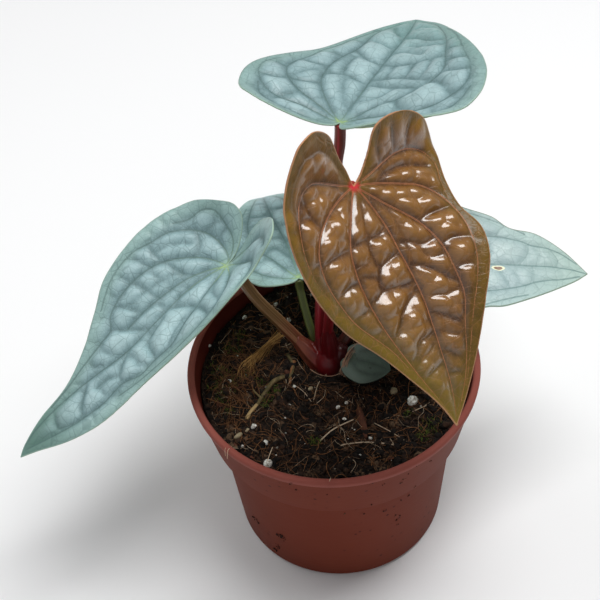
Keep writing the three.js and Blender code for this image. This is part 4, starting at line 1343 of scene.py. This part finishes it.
# %% Cork on the stem
def speckled(name, dark, pale, scale, rough, relief, stretch=None, span=None, coarse=0.55):
    """Two tones mixed by a noise, within a span if given; relief is its depth and strength."""
    m, shader = new_material(name, Roughness=rough)
    here = stretched(m, own_place(m), stretch) if stretch else own_place(m)
    grain = noise(m, here, scale, 4.0, coarse)
    share = between(m, grain, *span) if span else grain
    join(m, blend(m, share, dark, pale), shader.inputs["Base Color"])
    bump(m, shader, grain, *relief)
    return m


cork = speckled("cork_brown", tone(70, 46, 28), tone(132, 98, 62), 300.0, 0.85,
                (0.0006, 0.7), stretch=(1, 1, 4))
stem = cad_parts["rootstock"]
stem.data.materials.clear()
stem.data.materials.append(cork)
print("buried stem finished")

# %% [markdown]
# ## Pot
# A thin moulded nursery pot: a straight taper, a wider collar with a step under it, and a
# rounded bead round the rim. It is a section spun once around the axis, like the mould.
# Stacked cones would need seams. The rings are bevelled, so no edge is knife sharp.

# %% Spin the pot
POT_OUTER = [(0, 0), (44, 0), (45.5, 1.8), (50.4, 62.6), (54.4, 64.2), (59, 88.2),
             (60, 88.6), (60.2, 90.6), (59.6, 91.4)]
POT_INNER = [(57.9, 91.4), (57.2, 90.7), (52.9, 65), (49.1, 63.3), (44.2, 3.4), (43.2, 2.4),
             (0, 2.4)]
LIP_FROM, LIP_INSIDE_TO, FLOOR_TO = 88.4 * MM, 90.5 * MM, 3 * MM


def spun(profile, steps=160):
    bm = bmesh.new()
    chain = [bm.verts.new((x * MM, 0, z * MM)) for x, z in profile]
    for a, b in zip(chain, chain[1:]):
        bm.edges.new((a, b))
    bmesh.ops.spin(bm, geom=bm.verts[:] + bm.edges[:], cent=(0, 0, 0), axis=(0, 0, 1),
                   angle=2 * math.pi, steps=steps, use_merge=True, dvec=(0, 0, 0))
    bmesh.ops.remove_doubles(bm, verts=bm.verts, dist=1e-6)
    bmesh.ops.recalc_face_normals(bm, faces=bm.faces)
    return bm


bm = spun(POT_OUTER + POT_INNER)
rings = [e for e in bm.edges if len(e.link_faces) == 2 and e.calc_face_angle() > 0.22
         and abs(e.verts[0].co.z - e.verts[1].co.z) < 1e-7]
bmesh.ops.bevel(bm, geom=rings, offset=0.28 * MM, segments=3, profile=0.5, affect="EDGES",
                material=-1)
# Faces of the lip get the plastic painted paler as a highlight, inner faces the one painted darker
# as shade.
for face in bm.faces:
    middle = face.calc_center_median()
    inward = face.normal.x * middle.x + face.normal.y * middle.y < 0
    if middle.z > LIP_FROM and not (inward and middle.z < LIP_INSIDE_TO):
        face.material_index = 1
    elif inward or (middle.z < FLOOR_TO and face.normal.z > 0.5):
        face.material_index = 2

# %% [markdown]
# The floor has eight round drain holes in a ring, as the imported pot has. They are cut with
# a Boolean, as a punch would do, and the cutters are gone before the pot is shown.

# %% Drain holes
HOLES, HOLE_RING, HOLE_RADIUS = 8, 36, 3.6


def as_object(name, bm):
    mesh = bpy.data.meshes.new(name)
    bm.to_mesh(mesh)
    bm.free()
    obj = bpy.data.objects.new(name, mesh)
    scene.collection.objects.link(obj)
    return obj


cutters = bmesh.new()
for k in range(HOLES):
    turn = (k + 0.5) * 2 * math.pi / HOLES
    spot = Vector((HOLE_RING * math.cos(turn), HOLE_RING * math.sin(turn), 1.2)) * MM
    bmesh.ops.create_cone(cutters, cap_ends=True, segments=40, radius1=HOLE_RADIUS * MM,
                          radius2=HOLE_RADIUS * MM, depth=6 * MM,
                          matrix=Matrix.Translation(spot))
cutter = as_object("hole_cutters", cutters)
blank = as_object("pot_undrilled", bm)
drill = blank.modifiers.new("drill", "BOOLEAN")
drill.operation = "DIFFERENCE"
drill.object = cutter
seen = blank.evaluated_get(bpy.context.evaluated_depsgraph_get())
bm = bmesh.new()
bm.from_mesh(seen.to_mesh())
seen.to_mesh_clear()
for obj in (blank, cutter):
    bpy.data.objects.remove(obj)
print("pot with holes:", len(bm.faces), "faces")

# %% [markdown]
# The plastic is brown-red and dull, rubbed paler in bands, with dark specks and smears of
# soil. The lip is cleaner and painted paler as a painted highlight, and the inside is painted
# darker as painted shade. A photograph of plastic would bring its own light along, noise
# doesn't.

# %% Pot plastic
def plastic(name, body, worn, dirt_share, rough):
    m, shader = new_material(name, Roughness=rough, Specular_IOR_Level=0.03)
    here = own_place(m)
    colour = blend(m, noise(m, here, 28.0, 5.0, 0.6), body, worn)
    rub = noise(m, stretched(m, here, (1, 1, 6)), 90.0, 3.0)
    colour = tinge(m, colour, rub, (0.55, 0.8), 0.25, worn)
    specks = add(m, "TexVoronoi", {"Vector": here, "Scale": 210.0, "Randomness": 1.0})
    dots = times(m, between(m, specks.outputs["Distance"], 0.2, 0.08),
                 between(m, noise(m, here, 24.0, 2.0), 0.5, 0.62))
    colour = blend(m, times(m, dots, dirt_share), colour, tone(52, 20, 16))
    smear = noise(m, here, 45.0, 6.0, 0.7)
    colour = tinge(m, colour, smear, (0.6, 0.78), 0.5 * dirt_share, tone(66, 34, 28))
    join(m, colour, shader.inputs["Base Color"])
    fine = noise(m, here, 1500.0, 2.0)
    bump(m, shader, combine(m, "ADD", times(m, fine, 0.4), rub), 0.00012, 0.35)
    return m


pot = show("pot_shell", bm, [
    plastic("pot_terracotta", tone(84, 34, 22), tone(96, 46, 33), 0.9, 0.5),
    # The lip's paler tones are a painted highlight and the inside's darker ones painted shade.
    plastic("pot_lip_painted_highlight", tone(106, 54, 46), tone(124, 72, 64), 0.35, 0.42),
    plastic("pot_inside_painted_shade", tone(66, 24, 18), tone(80, 34, 26), 0.7, 0.5),
], node="pot", smooth=False)
for face in pot.data.polygons:
    face.use_smooth = abs(face.normal.z) < 0.97 or len(face.vertices) == 4

# %% [markdown]
# ## Peat
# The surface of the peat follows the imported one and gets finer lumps. It is a bent grid
# round the pot's axis that also runs down the wall and over the floor, so the peat fills
# the pot. A displaced disc would do for the eye, but it would leave the pot empty.

# %% The surface of the peat
PEAT_REACH, WALL_SHARE = 55.4, 0.25
PEAT_WALL = [(PEAT_REACH, 82.9), (52.4, 65.3), (48.6, 63.5), (43.7, 3.6), (42.7, 2.8), (0, 2.8)]


def peat_height(x, y):
    """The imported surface, in mm: a mound round the crown, low bumps and a slight slope."""
    mound = 1.6 * np.exp(-((x + 3) ** 2 + (y - 8.5) ** 2) / 500)
    return (83 + 1.1 * bumps(x, y, 11) + 0.8 * bumps(x + 40, y - 25, 5.5) + mound
            - 0.012 * (x + 20))


def peat_lumps(x, y):
    return 0.55 * bumps(x + 7, y, 2.9) + 0.4 * bumps(x, y + 9, 1.5) + 0.2 * bumps(y, x, 0.8)


def peat_rule(across, along):
    turn = 2 * np.pi * across
    part = along * (1 + WALL_SHARE)
    reach = PEAT_REACH * np.minimum(part, 1) ** 0.7
    x, y = reach * np.cos(turn), reach * np.sin(turn)
    z = peat_height(x, y) + peat_lumps(x, y) * smooth_step((PEAT_REACH - reach) / 1.5)
    wall = at_share(np.array(PEAT_WALL, float), np.clip((part - 1) / WALL_SHARE, 0, 1))
    low = part > 1
    reach = np.where(low, wall[:, 0], reach)
    z = np.where(low, np.minimum(wall[:, 1], z), z)
    return np.stack([reach * np.cos(turn), reach * np.sin(turn), z], -1) * MM


peat, shader = new_material("peat_dark", Roughness=0.9)
here = own_place(peat)
clod, damp = noise(peat, here, 420.0, 6.0, 0.7), noise(peat, here, 900.0, 2.0)
colour = blend(peat, between(peat, clod, 0.35, 0.75), tone(8, 6, 5), tone(40, 29, 22))
colour = tinge(peat, colour, noise(peat, here, 60.0, 3.0), (0.52, 0.7), 0.55, tone(54, 34, 22))
colour = tinge(peat, colour, damp, (0.62, 0.7), 0.5, tone(96, 80, 60))
join(peat, colour, shader.inputs["Base Color"])
bump(peat, shader, combine(peat, "ADD", clod, damp), 0.0008, 0.9)
bm = bent_grid(330, 120, peat_rule)
bmesh.ops.recalc_face_normals(bm, faces=bm.faces)
show("peat_body", bm, [peat], node="soil")

# %% [markdown]
# ## Loose bits
# Crumbs, chips, perlite and pebbles are stamps of a lump each, half sunk in the peat, and
# turned and squeezed anew each time. Seeded dice choose the places, so every run gives the
# same soil. Particles could scatter them too, but they would have to be made real after.

# %% Stamping small lumps
dice = random.Random(7)


def lump(faces_level, knobs, seed):
    """A template lump one millimetre in radius."""
    bm = bmesh.new()
    bmesh.ops.create_icosphere(bm, subdivisions=faces_level, radius=1)
    rng = np.random.default_rng(seed)
    waves = rng.normal(size=(4, 3)) * 2.2
    for vert in bm.verts:
        ripple = sum(math.sin(Vector(wave) @ vert.co + k) for k, wave in enumerate(waves))
        vert.co *= 1 + knobs * ripple
    return bm


def template(bm):
    mesh = bpy.data.meshes.new("template")
    bm.to_mesh(mesh)
    bm.free()
    return mesh


def stamp(bm, mesh, x, y, z, size, turn=None, flat=0.0):
    """Adds the template at a place in mm; size is (long, wide, high), turn in degrees."""
    angle = dice.uniform(0, 360) if turn is None else turn
    tip = Matrix.Rotation(dice.uniform(-flat, flat), 4, "X") @ Matrix.Rotation(
        dice.uniform(-flat, flat), 4, "Y")
    place = (Matrix.Translation(Vector((x, y, z)) * MM)
             @ Matrix.Rotation(math.radians(angle), 4, "Z") @ tip
             @ Matrix.Diagonal((*(s * MM for s in size), 1)))
    mesh.transform(place)
    bm.from_mesh(mesh)
    mesh.transform(place.inverted())


def on_peat(x, y):
    a, b = np.array([float(x)]), np.array([float(y)])
    return float((peat_height(a, b) + peat_lumps(a, b))[0])


def anywhere(reach=54.5):
    """A random place on the peat, clear of the crown."""
    while True:
        x, y = dice.uniform(-reach, reach), dice.uniform(-reach, reach)
        if math.hypot(x, y) < reach and math.hypot((x + 3) / 1.3, y - 7) > 7.5:
            return x, y


# %% [markdown]
# Thousands of crumbs cover the peat, one in six a large one. A displaced surface alone
# would look like cloth, since peat has loose pieces. Most are nearly black, a few are tan.

# %% Crumbs
CRUMB_TONES = ((0.6, tone(22, 16, 13)), (0.86, tone(48, 32, 22)))
crumb, shader = new_material("crumb_mix", Roughness=0.88)
here = own_place(crumb)
kind = add(crumb, "TexVoronoi", {"Vector": here, "Scale": 300.0}).outputs["Color"]
pick = add(crumb, "SeparateColor", {"Color": kind}).outputs["Red"]
ramp = add(crumb, "ValToRGB", {"Fac": pick})
ramp.color_ramp.elements[0].color = tone(9, 7, 6)
ramp.color_ramp.elements[1].color = tone(82, 64, 48)
ramp.color_ramp.elements[1].position = 0.98
for position, colour in CRUMB_TONES:
    ramp.color_ramp.elements.new(position).color = colour
grit = noise(crumb, here, 1300.0, 3.0)
join(crumb, blend(crumb, between(crumb, grit, 0.4, 0.8), ramp.outputs["Color"], tone(20, 16, 14)),
     shader.inputs["Base Color"])
bump(crumb, shader, grit, 0.0004, 0.7)
small = template(lump(1, 0.1, 3))
bm = bmesh.new()
for k in range(5200):
    x, y = anywhere()
    size = dice.uniform(0.35, 0.8) if k % 6 else dice.uniform(0.9, 1.7)
    stamp(bm, small, x, y, on_peat(x, y) + dice.uniform(-0.1, 0.3) * size,
          (size * dice.uniform(0.8, 1.7), size, size * dice.uniform(0.6, 1)), flat=1.2)
show("peat_crumbs", bm, [crumb])

# %% [markdown]
# A few crumbs stick to the outside of the pot. The photograph shows where: single grains in
# front, and dense smears of grains low on the left, which close the list.

# %% Dirt on the pot
FIRST_SMEAR = 20
POT_DIRT = [(-0.5, -49.8, 55.2), (7.3, -49.1, 53.0), (9.6, -54.0, 66.5), (16.0, -46.8, 50.8),
            (21.2, -43.6, 38.4), (20.0, -44.5, 42.0), (22.4, -43.1, 39.8), (21.6, -42.9, 33.6),
            (22.0, -52.5, 77.6), (24.9, -52.4, 83.2), (33.7, -47.0, 82.2), (14.6, -56.0, 82.5),
            (-21.0, -54.8, 86.6), (-19.0, -54.6, 82.1), (28.5, -51.3, 86.5), (23.5, -52.4, 80.1),
            (28.2, -46.9, 65.6), (26.2, -42.2, 53.7), (-7.4, -57.0, 80.4), (23.0, -43.9, 52.8),
            (-39.3, -26.1, 22.3), (-37.7, -28.3, 22.6), (-27.8, -38.4, 25.3), (-29.2, -37.2, 24.4),
            (-26.7, -39.0, 23.9), (-30.1, -35.2, 11.8), (-31.2, -33.8, 7.5)]
bm = bmesh.new()
for k, (x, y, z) in enumerate(POT_DIRT):
    smear = k >= FIRST_SMEAR
    for _ in range(9 if smear else 2):
        spread = 0.9 if smear else 0.3
        turn = math.atan2(y, x) + dice.gauss(0, spread) / 50
        reach, rise = math.hypot(x, y), dice.gauss(0, spread)
        size = dice.uniform(0.2, 0.42)
        stamp(bm, small, reach * math.cos(turn), reach * math.sin(turn), z + rise,
              (size, size, size), flat=1.5)
show("pot_dirt", bm, [crumb])

# %% [markdown]
# Chips of bark are flat reddish splinters. One long chip lies in front of the crown, the
# others are small and scattered.

# %% Bark chips
bark = speckled("bark_red", tone(34, 20, 15), tone(92, 54, 38), 700.0, 0.75, (0.0006, 0.8),
                stretch=(3, 0.5, 2))
chip = template(lump(2, 0.06, 11))
bm = bmesh.new()
stamp(bm, chip, 9.3, -23.8, on_peat(9.3, -23.8) + 0.7, (9.2, 1.5, 0.8), turn=96.5)
for k in range(34):
    x, y = anywhere()
    size = dice.uniform(0.5, 1.2)
    stamp(bm, chip, x, y, on_peat(x, y) + 0.2, (size * dice.uniform(1.2, 2.4), size, 0.35 * size),
          flat=0.6)
show("bark_chips", bm, [bark])

# %% [markdown]
# Perlite is blown volcanic glass: white, pitted, round grains. Each large one has its x, y
# and radius: those in front lie as in the photograph. Small ones are scattered between
# them, and a few tan pebbles are stamped from the same bead.

# %% Perlite and pebbles
perlite = speckled("perlite_white", tone(112, 104, 92), tone(216, 210, 200), 1100.0, 0.8,
                   (0.0005, 0.8), span=(0.35, 0.6), coarse=0.7)
PERLITE = [(30.6, -17.1, 2.5), (0.3, -18.1, 1.1), (-29.4, -43.4, 2.1), (-34.1, -24.5, 1.5),
           (-43.3, -0.9, 1.0), (-43.3, -4.2, 0.8), (-29.7, -32.8, 1.2), (2.3, -24.2, 0.9),
           (-16.7, -5.5, 0.8), (7.0, -41.4, 0.8), (-19.3, -14.4, 0.8), (-17.0, 32.1, 1.4),
           (-51.5, 21.7, 0.9), (-39.0, -32.8, 0.8), (-44.8, -16.8, 0.6), (-25.6, -35.0, 0.7),
           (11.9, -33.8, 0.9), (3.8, -16.2, 0.8), (-22.0, 41.0, 1.2), (20.0, 44.0, 1.4),
           (38.0, 26.0, 1.2), (-6.0, 46.0, 1.0), (47.0, 8.0, 0.9), (-36.0, 36.0, 1.3)]
bead = template(lump(2, 0.07, 21))
bm = bmesh.new()
for x, y, size in PERLITE:
    stamp(bm, bead, x, y, on_peat(x, y) + 0.55 * size,
          (size, size * dice.uniform(0.75, 0.95), size * dice.uniform(0.7, 0.9)), flat=0.5)
for k in range(70):
    x, y = anywhere()
    size = dice.uniform(0.2, 0.45)
    stamp(bm, bead, x, y, on_peat(x, y) + 0.5 * size, (size, size * 0.85, size * 0.8), flat=1)
show("perlite_beads", bm, [perlite])

pebble = speckled("pebble_tan", tone(84, 76, 58), tone(150, 136, 110), 800.0, 0.7,
                  (0.0003, 0.6))
PEBBLES = [(23.6, -11.4, 1.9, 1.6), (-40.5, -28.0, 2.6, 1.1), (-10.1, -8.0, 1.4, 0.9),
           (-36.9, -25.5, 1.3, 1.0), (13.5, -15.0, 1.1, 0.8)]
bm = bmesh.new()
for x, y, long, wide in PEBBLES:
    stamp(bm, bead, x, y, on_peat(x, y) + 0.5 * wide, (long, wide, 0.8 * wide), turn=52, flat=0.3)
show("pebbles", bm, [pebble])

# %% [markdown]
# ## Fibres, twig and moss
# Coir, dead roots and a mossy twig lie over the peat. Every one is a thin tube whose path
# wanders a little. Hair particles would be faster, but these stay real pieces.

# %% Fibre finishes and paths
pale_fibre = fibre_finish("fibre_pale", tone(70, 54, 42), tone(176, 156, 132))
brown_fibre = fibre_finish("fibre_brown", tone(24, 15, 11), tone(112, 76, 48))
gold_fibre = fibre_finish("fibre_gold", tone(84, 58, 30), tone(160, 122, 72))
moss_green = fibre_finish("moss_green", tone(18, 28, 10), tone(84, 100, 38))
twig_bark = fibre_finish("twig_bark", tone(34, 36, 18), tone(150, 126, 88))


def cord(points, start, end, tint=0.5, columns=5, rows=None):
    """A thin round tube through points in mm, tapering from one radius to the other."""
    return tube(smooth_line(points, 6), (0, 1), lambda s: mix(start, end, s), (0.13, 0.21, 1),
                columns, rows or 4 * len(points), tint=tint)


def wander(x, y, turn, length, lift, bend, steps=6):
    """A path of points over the peat that turns a little at every step."""
    points = []
    for k in range(steps + 1):
        arch = math.sin(math.pi * k / steps)
        points.append((x, y, on_peat(x, y) + 0.25 + lift * arch))
        turn += dice.uniform(-bend, bend)
        x += math.cos(turn) * length / steps
        y += math.sin(turn) * length / steps
        if math.hypot(x, y) > 54:
            break
    return points


def loose_fibres(count, length, radius, lift, bend):
    """Fibres all over the peat; length and radius are ranges in mm."""
    made = []
    while len(made) < count:
        x, y = anywhere(53)
        path = wander(x, y, dice.uniform(0, 2 * math.pi), dice.uniform(*length),
                      dice.uniform(0, lift), bend)
        if len(path) > 3:
            thick = dice.uniform(*radius)
            made.append(cord(path, thick, 0.6 * thick, dice.uniform(0.1, 0.9), 4, 9))
    return made


# %% [markdown]
# Pale and brown fibres are scattered over the peat, with a thick brown mat on the left. The
# ones that stand out in the photograph are drawn one by one: threads beside the crown, and
# some that hang over the rim.

# %% Lay the fibres
def lying(points, start, end, tint, lift=0.5, rows=None):
    """A cord through places on the peat; lift may be one number or one for each place."""
    lifts = lift if isinstance(lift, (list, tuple)) else [lift] * len(points)
    return cord([(x, y, on_peat(x, y) + h) for (x, y), h in zip(points, lifts)], start, end,
                tint, 6, rows)


pale = loose_fibres(210, (4, 13), (0.05, 0.13), 1.5, 0.6)
pale += [
    lying([(-8.4, -34), (-2.5, -30.2), (6, -24.6)], 0.3, 0.22, 0.85, [0.4, 1.6, 0.8]),
    lying([(-0.1, -37.4), (3, -36.2), (11.2, -36), (22.5, -38.2)], 0.3, 0.3, 0.8, 0.8),
    lying([(19.6, -34.8), (20.4, -37), (21, -40)], 0.18, 0.12, 0.7, 0.6),
    lying([(-29.4, -43.4), (-28.2, -39), (-27.1, -35.6)], 0.16, 0.16, 0.9, [3, 2.2, 1.2]),
    lying([(-9.5, -14), (-7.6, -9), (-6.2, -5.6)], 0.15, 0.12, 0.8, [0.5, 1.6, 2.2]),
    lying([(-10, -14.4), (-13, -9.5), (-17, -4.5)], 0.17, 0.1, 0.8, [0.5, 1.2, 1]),
    lying([(-8.2, -15), (-5, -12.4), (-4.2, -9.6)], 0.12, 0.08, 0.7, [0.5, 1, 1.6]),
    lying([(14, -26.5), (20, -31.5), (26, -37)], 0.2, 0.14, 0.6, 0.9),
    lying([(30, -23), (36, -19.5)], 0.2, 0.14, 0.7, 1.4),
    lying([(2, -42), (5, -46), (2.6, -50)], 0.14, 0.1, 0.6, 0.8),
    cord([(-40.5, -34.5, 84.5), (-43.9, -39.8, 91.8), (-44.8, -42.7, 89.4)], 0.14, 0.1, 0.9),
    cord([(-43.2, -33.5, 84.8), (-45.2, -39.2, 91.7), (-45.4, -41.6, 89.8)], 0.12, 0.08, 0.75),
    cord([(-6.2, -54.5, 85), (-5.4, -57.4, 91.9), (-6.4, -58.9, 90.8)], 0.12, 0.08, 0.8),
]
show("fibres_pale", gather(pale), [pale_fibre])
brown = loose_fibres(900, (5, 17), (0.06, 0.2), 1.9, 0.7)
for reach, count, tints in ((6, 90, (0.2, 0.8)), (13, 160, (0.1, 1.0))):
    for k in range(count):
        path = wander(-41 + dice.gauss(0, 0.6 * reach), dice.gauss(0, reach),
                      dice.uniform(0, 6.3), dice.uniform(5, 14), dice.uniform(0.4, 2.4), 0.6)
        if len(path) > 3 and math.hypot(*path[0][:2]) < 53:
            brown.append(cord(path, 0.13, 0.07, dice.uniform(*tints), 4, 9))
brown += [
    lying([(-16, 8), (-17.5, 2), (-18.5, -4)], 0.9, 0.6, 0.75, 0.7),
    lying([(-46, -5), (-38, -11), (-33, -17)], 0.16, 0.1, 0.9, 1.2),
    lying([(-53, -8), (-42, -13), (-34, -15)], 0.18, 0.1, 0.9, 1.5),
    lying([(-47, 2), (-43, -8), (-44, -18)], 0.14, 0.1, 0.9, 1.5),
]
show("fibres_brown", gather(brown), [brown_fibre])

# %% [markdown]
# A bundle of golden coir lies on the left behind the mat, combed one way and frayed at both
# ends, since each thread starts and ends a little off the shared path.

# %% Coir bundle
COIR_THREADS = 64
coir = []
for k in range(COIR_THREADS):
    spread = dice.gauss(0, 2.1)
    drop = dice.gauss(0, 1.4)
    path = [(-20 + spread * 0.6, 25 + drop), (-27.7 + spread, 17.3 + spread * 0.7),
            (-33.3 + spread + drop, 9.8 + drop), (-35 + 2 * drop, 4 + spread)]
    start = dice.randrange(2)
    coir.append(lying(path[start:start + 3], 0.14, 0.08, dice.random(),
                      [0.5 + dice.random(), 1 + 2.2 * dice.random(), 0.4 + dice.random()], 14))
show("coir_bundle", gather(coir), [gold_fibre])

# %% [markdown]
# The twig is broken and lies in four bits, one of them a thin side shoot. Moss grows on it
# and in patches of the peat: each patch is a place and a reach, filled with short leaves
# that lean every way. A green cloth of moss would look painted on.

# %% Twig and moss
LEAVES_PER_MM = 20
twig = [lying([(-36.9, -20), (-35.1, -16.5), (-32.6, -12.4)], 0.9, 0.8, 0.85, [0.8, 1.1, 1.3], 20),
        lying([(-32.9, -12.9), (-28.7, -6.4), (-25.1, -2.3), (-20.7, 0)], 0.8, 1.1, 0.3,
              [1.3, 1.6, 1.6, 1.2], 40),
        lying([(-30.5, -9.4), (-33.4, -5.8), (-34, -2.6)], 0.5, 0.25, 0.4, [1.2, 1.3, 0.8]),
        lying([(-18.5, 12), (-16.5, 5), (-18.5, -1.5)], 0.8, 0.6, 0.25, 0.9, 20)]
show("twig", gather(twig), [twig_bark])
MOSS = [(-52.5, 10.8, 2.5), (-45.7, 3.3, 5.0), (-43.2, -3.7, 3.5), (-40.9, 18.8, 4.0),
        (-50.1, -1.8, 2.5), (28.4, -22.7, 2.2), (36.8, -29.4, 4.5), (-10.1, -33.8, 2.5),
        (-24.0, -5.0, 2.2), (-26.4, -3.6, 1.6), (-28.6, -6.6, 1.6), (-30.4, -9.6, 1.5),
        (-27.5, -9.0, 2.0), (-29.0, -13.0, 1.6), (-31.0, -1.0, 2.4), (-46.0, -8.0, 3.0),
        (-40.0, -1.0, 3.4), (-48.0, 6.0, 3.2), (-36.0, 4.0, 2.4), (-44.0, -14.0, 2.2),
        (33.0, -34.0, 3.0), (-38.0, 26.0, 3.0), (10.0, 44.0, 4.0), (40.0, 14.0, 3.0)]
tufts = []
for x, y, reach in MOSS:
    for k in range(int(LEAVES_PER_MM * reach)):
        a, r = dice.uniform(0, 2 * math.pi), reach * math.sqrt(dice.random())
        px, py = x + r * math.cos(a), y + r * math.sin(a)
        if math.hypot(px, py) > 53.5:
            continue
        tall = dice.uniform(0.7, 1.8)
        lean = dice.uniform(-0.9, 0.9), dice.uniform(-0.9, 0.9)
        foot = on_peat(px, py)
        path = [(px, py, foot - 0.2), (px + lean[0] * 0.4, py + lean[1] * 0.4, foot + 0.6 * tall),
                (px + lean[0], py + lean[1], foot + tall)]
        tufts.append(cord(path, 0.22, 0.06, dice.uniform(0.1, 0.95), 3, 4))
show("moss_tufts", gather(tufts), [moss_green])
print(len(tufts), "moss leaves")

# %% [markdown]
# ## Dry sheath
# Threads of an old, dry sheath stand between the crown and the smallest leaf, and the foot
# of the crown ends in a thin pale hem. A sheet of skin would be closer to the sheath while
# it was whole, but it has worn down to its threads.

# %% Dry sheath and hem
dry = fibre_finish("dry_sheath", tone(40, 27, 19), tone(150, 118, 98))
hem = [
    cord([(-9.6, 1.8, 86.0), (-6.5, -1.0, 85.8), (-2.2, -2.5, 85.6), (1.6, -2.0, 85.8),
          (4.0, -0.2, 86.2)], 0.16, 0.13, 0.8, 6, 30),
    cord([(3.4, -6.0, 91.8), (4.4, -1.8, 93.2), (7.4, 3.0, 94.6), (10.6, 6.0, 95.0)],
         0.2, 0.12, 0.9, 6, 24),
    cord([(9.0, 5.0, 95.6), (11.5, 4.8, 95.8), (14.0, 3.6, 94.8)], 0.2, 0.1, 0.8, 6, 20),
]
for k in range(12):
    off = dice.gauss(0, 0.8)
    hem.append(cord([(3.2 + off, -5.6 + dice.gauss(0, 0.6), 88.4 + 3 * dice.random()),
                     (4.5 + off, -2.6 + dice.gauss(0, 0.6), 92.4 + 0.8 * dice.random()),
                     (6.6 + off, 1.0 + dice.gauss(0, 0.8), 93.4 + 0.8 * dice.random()),
                     (8.4 + off, 3.6 + dice.gauss(0, 0.8), 94.2)],
                    0.22, 0.1, dice.uniform(0.1, 0.75), 5, 16))
show("dry_sheath_threads", gather(hem), [dry])
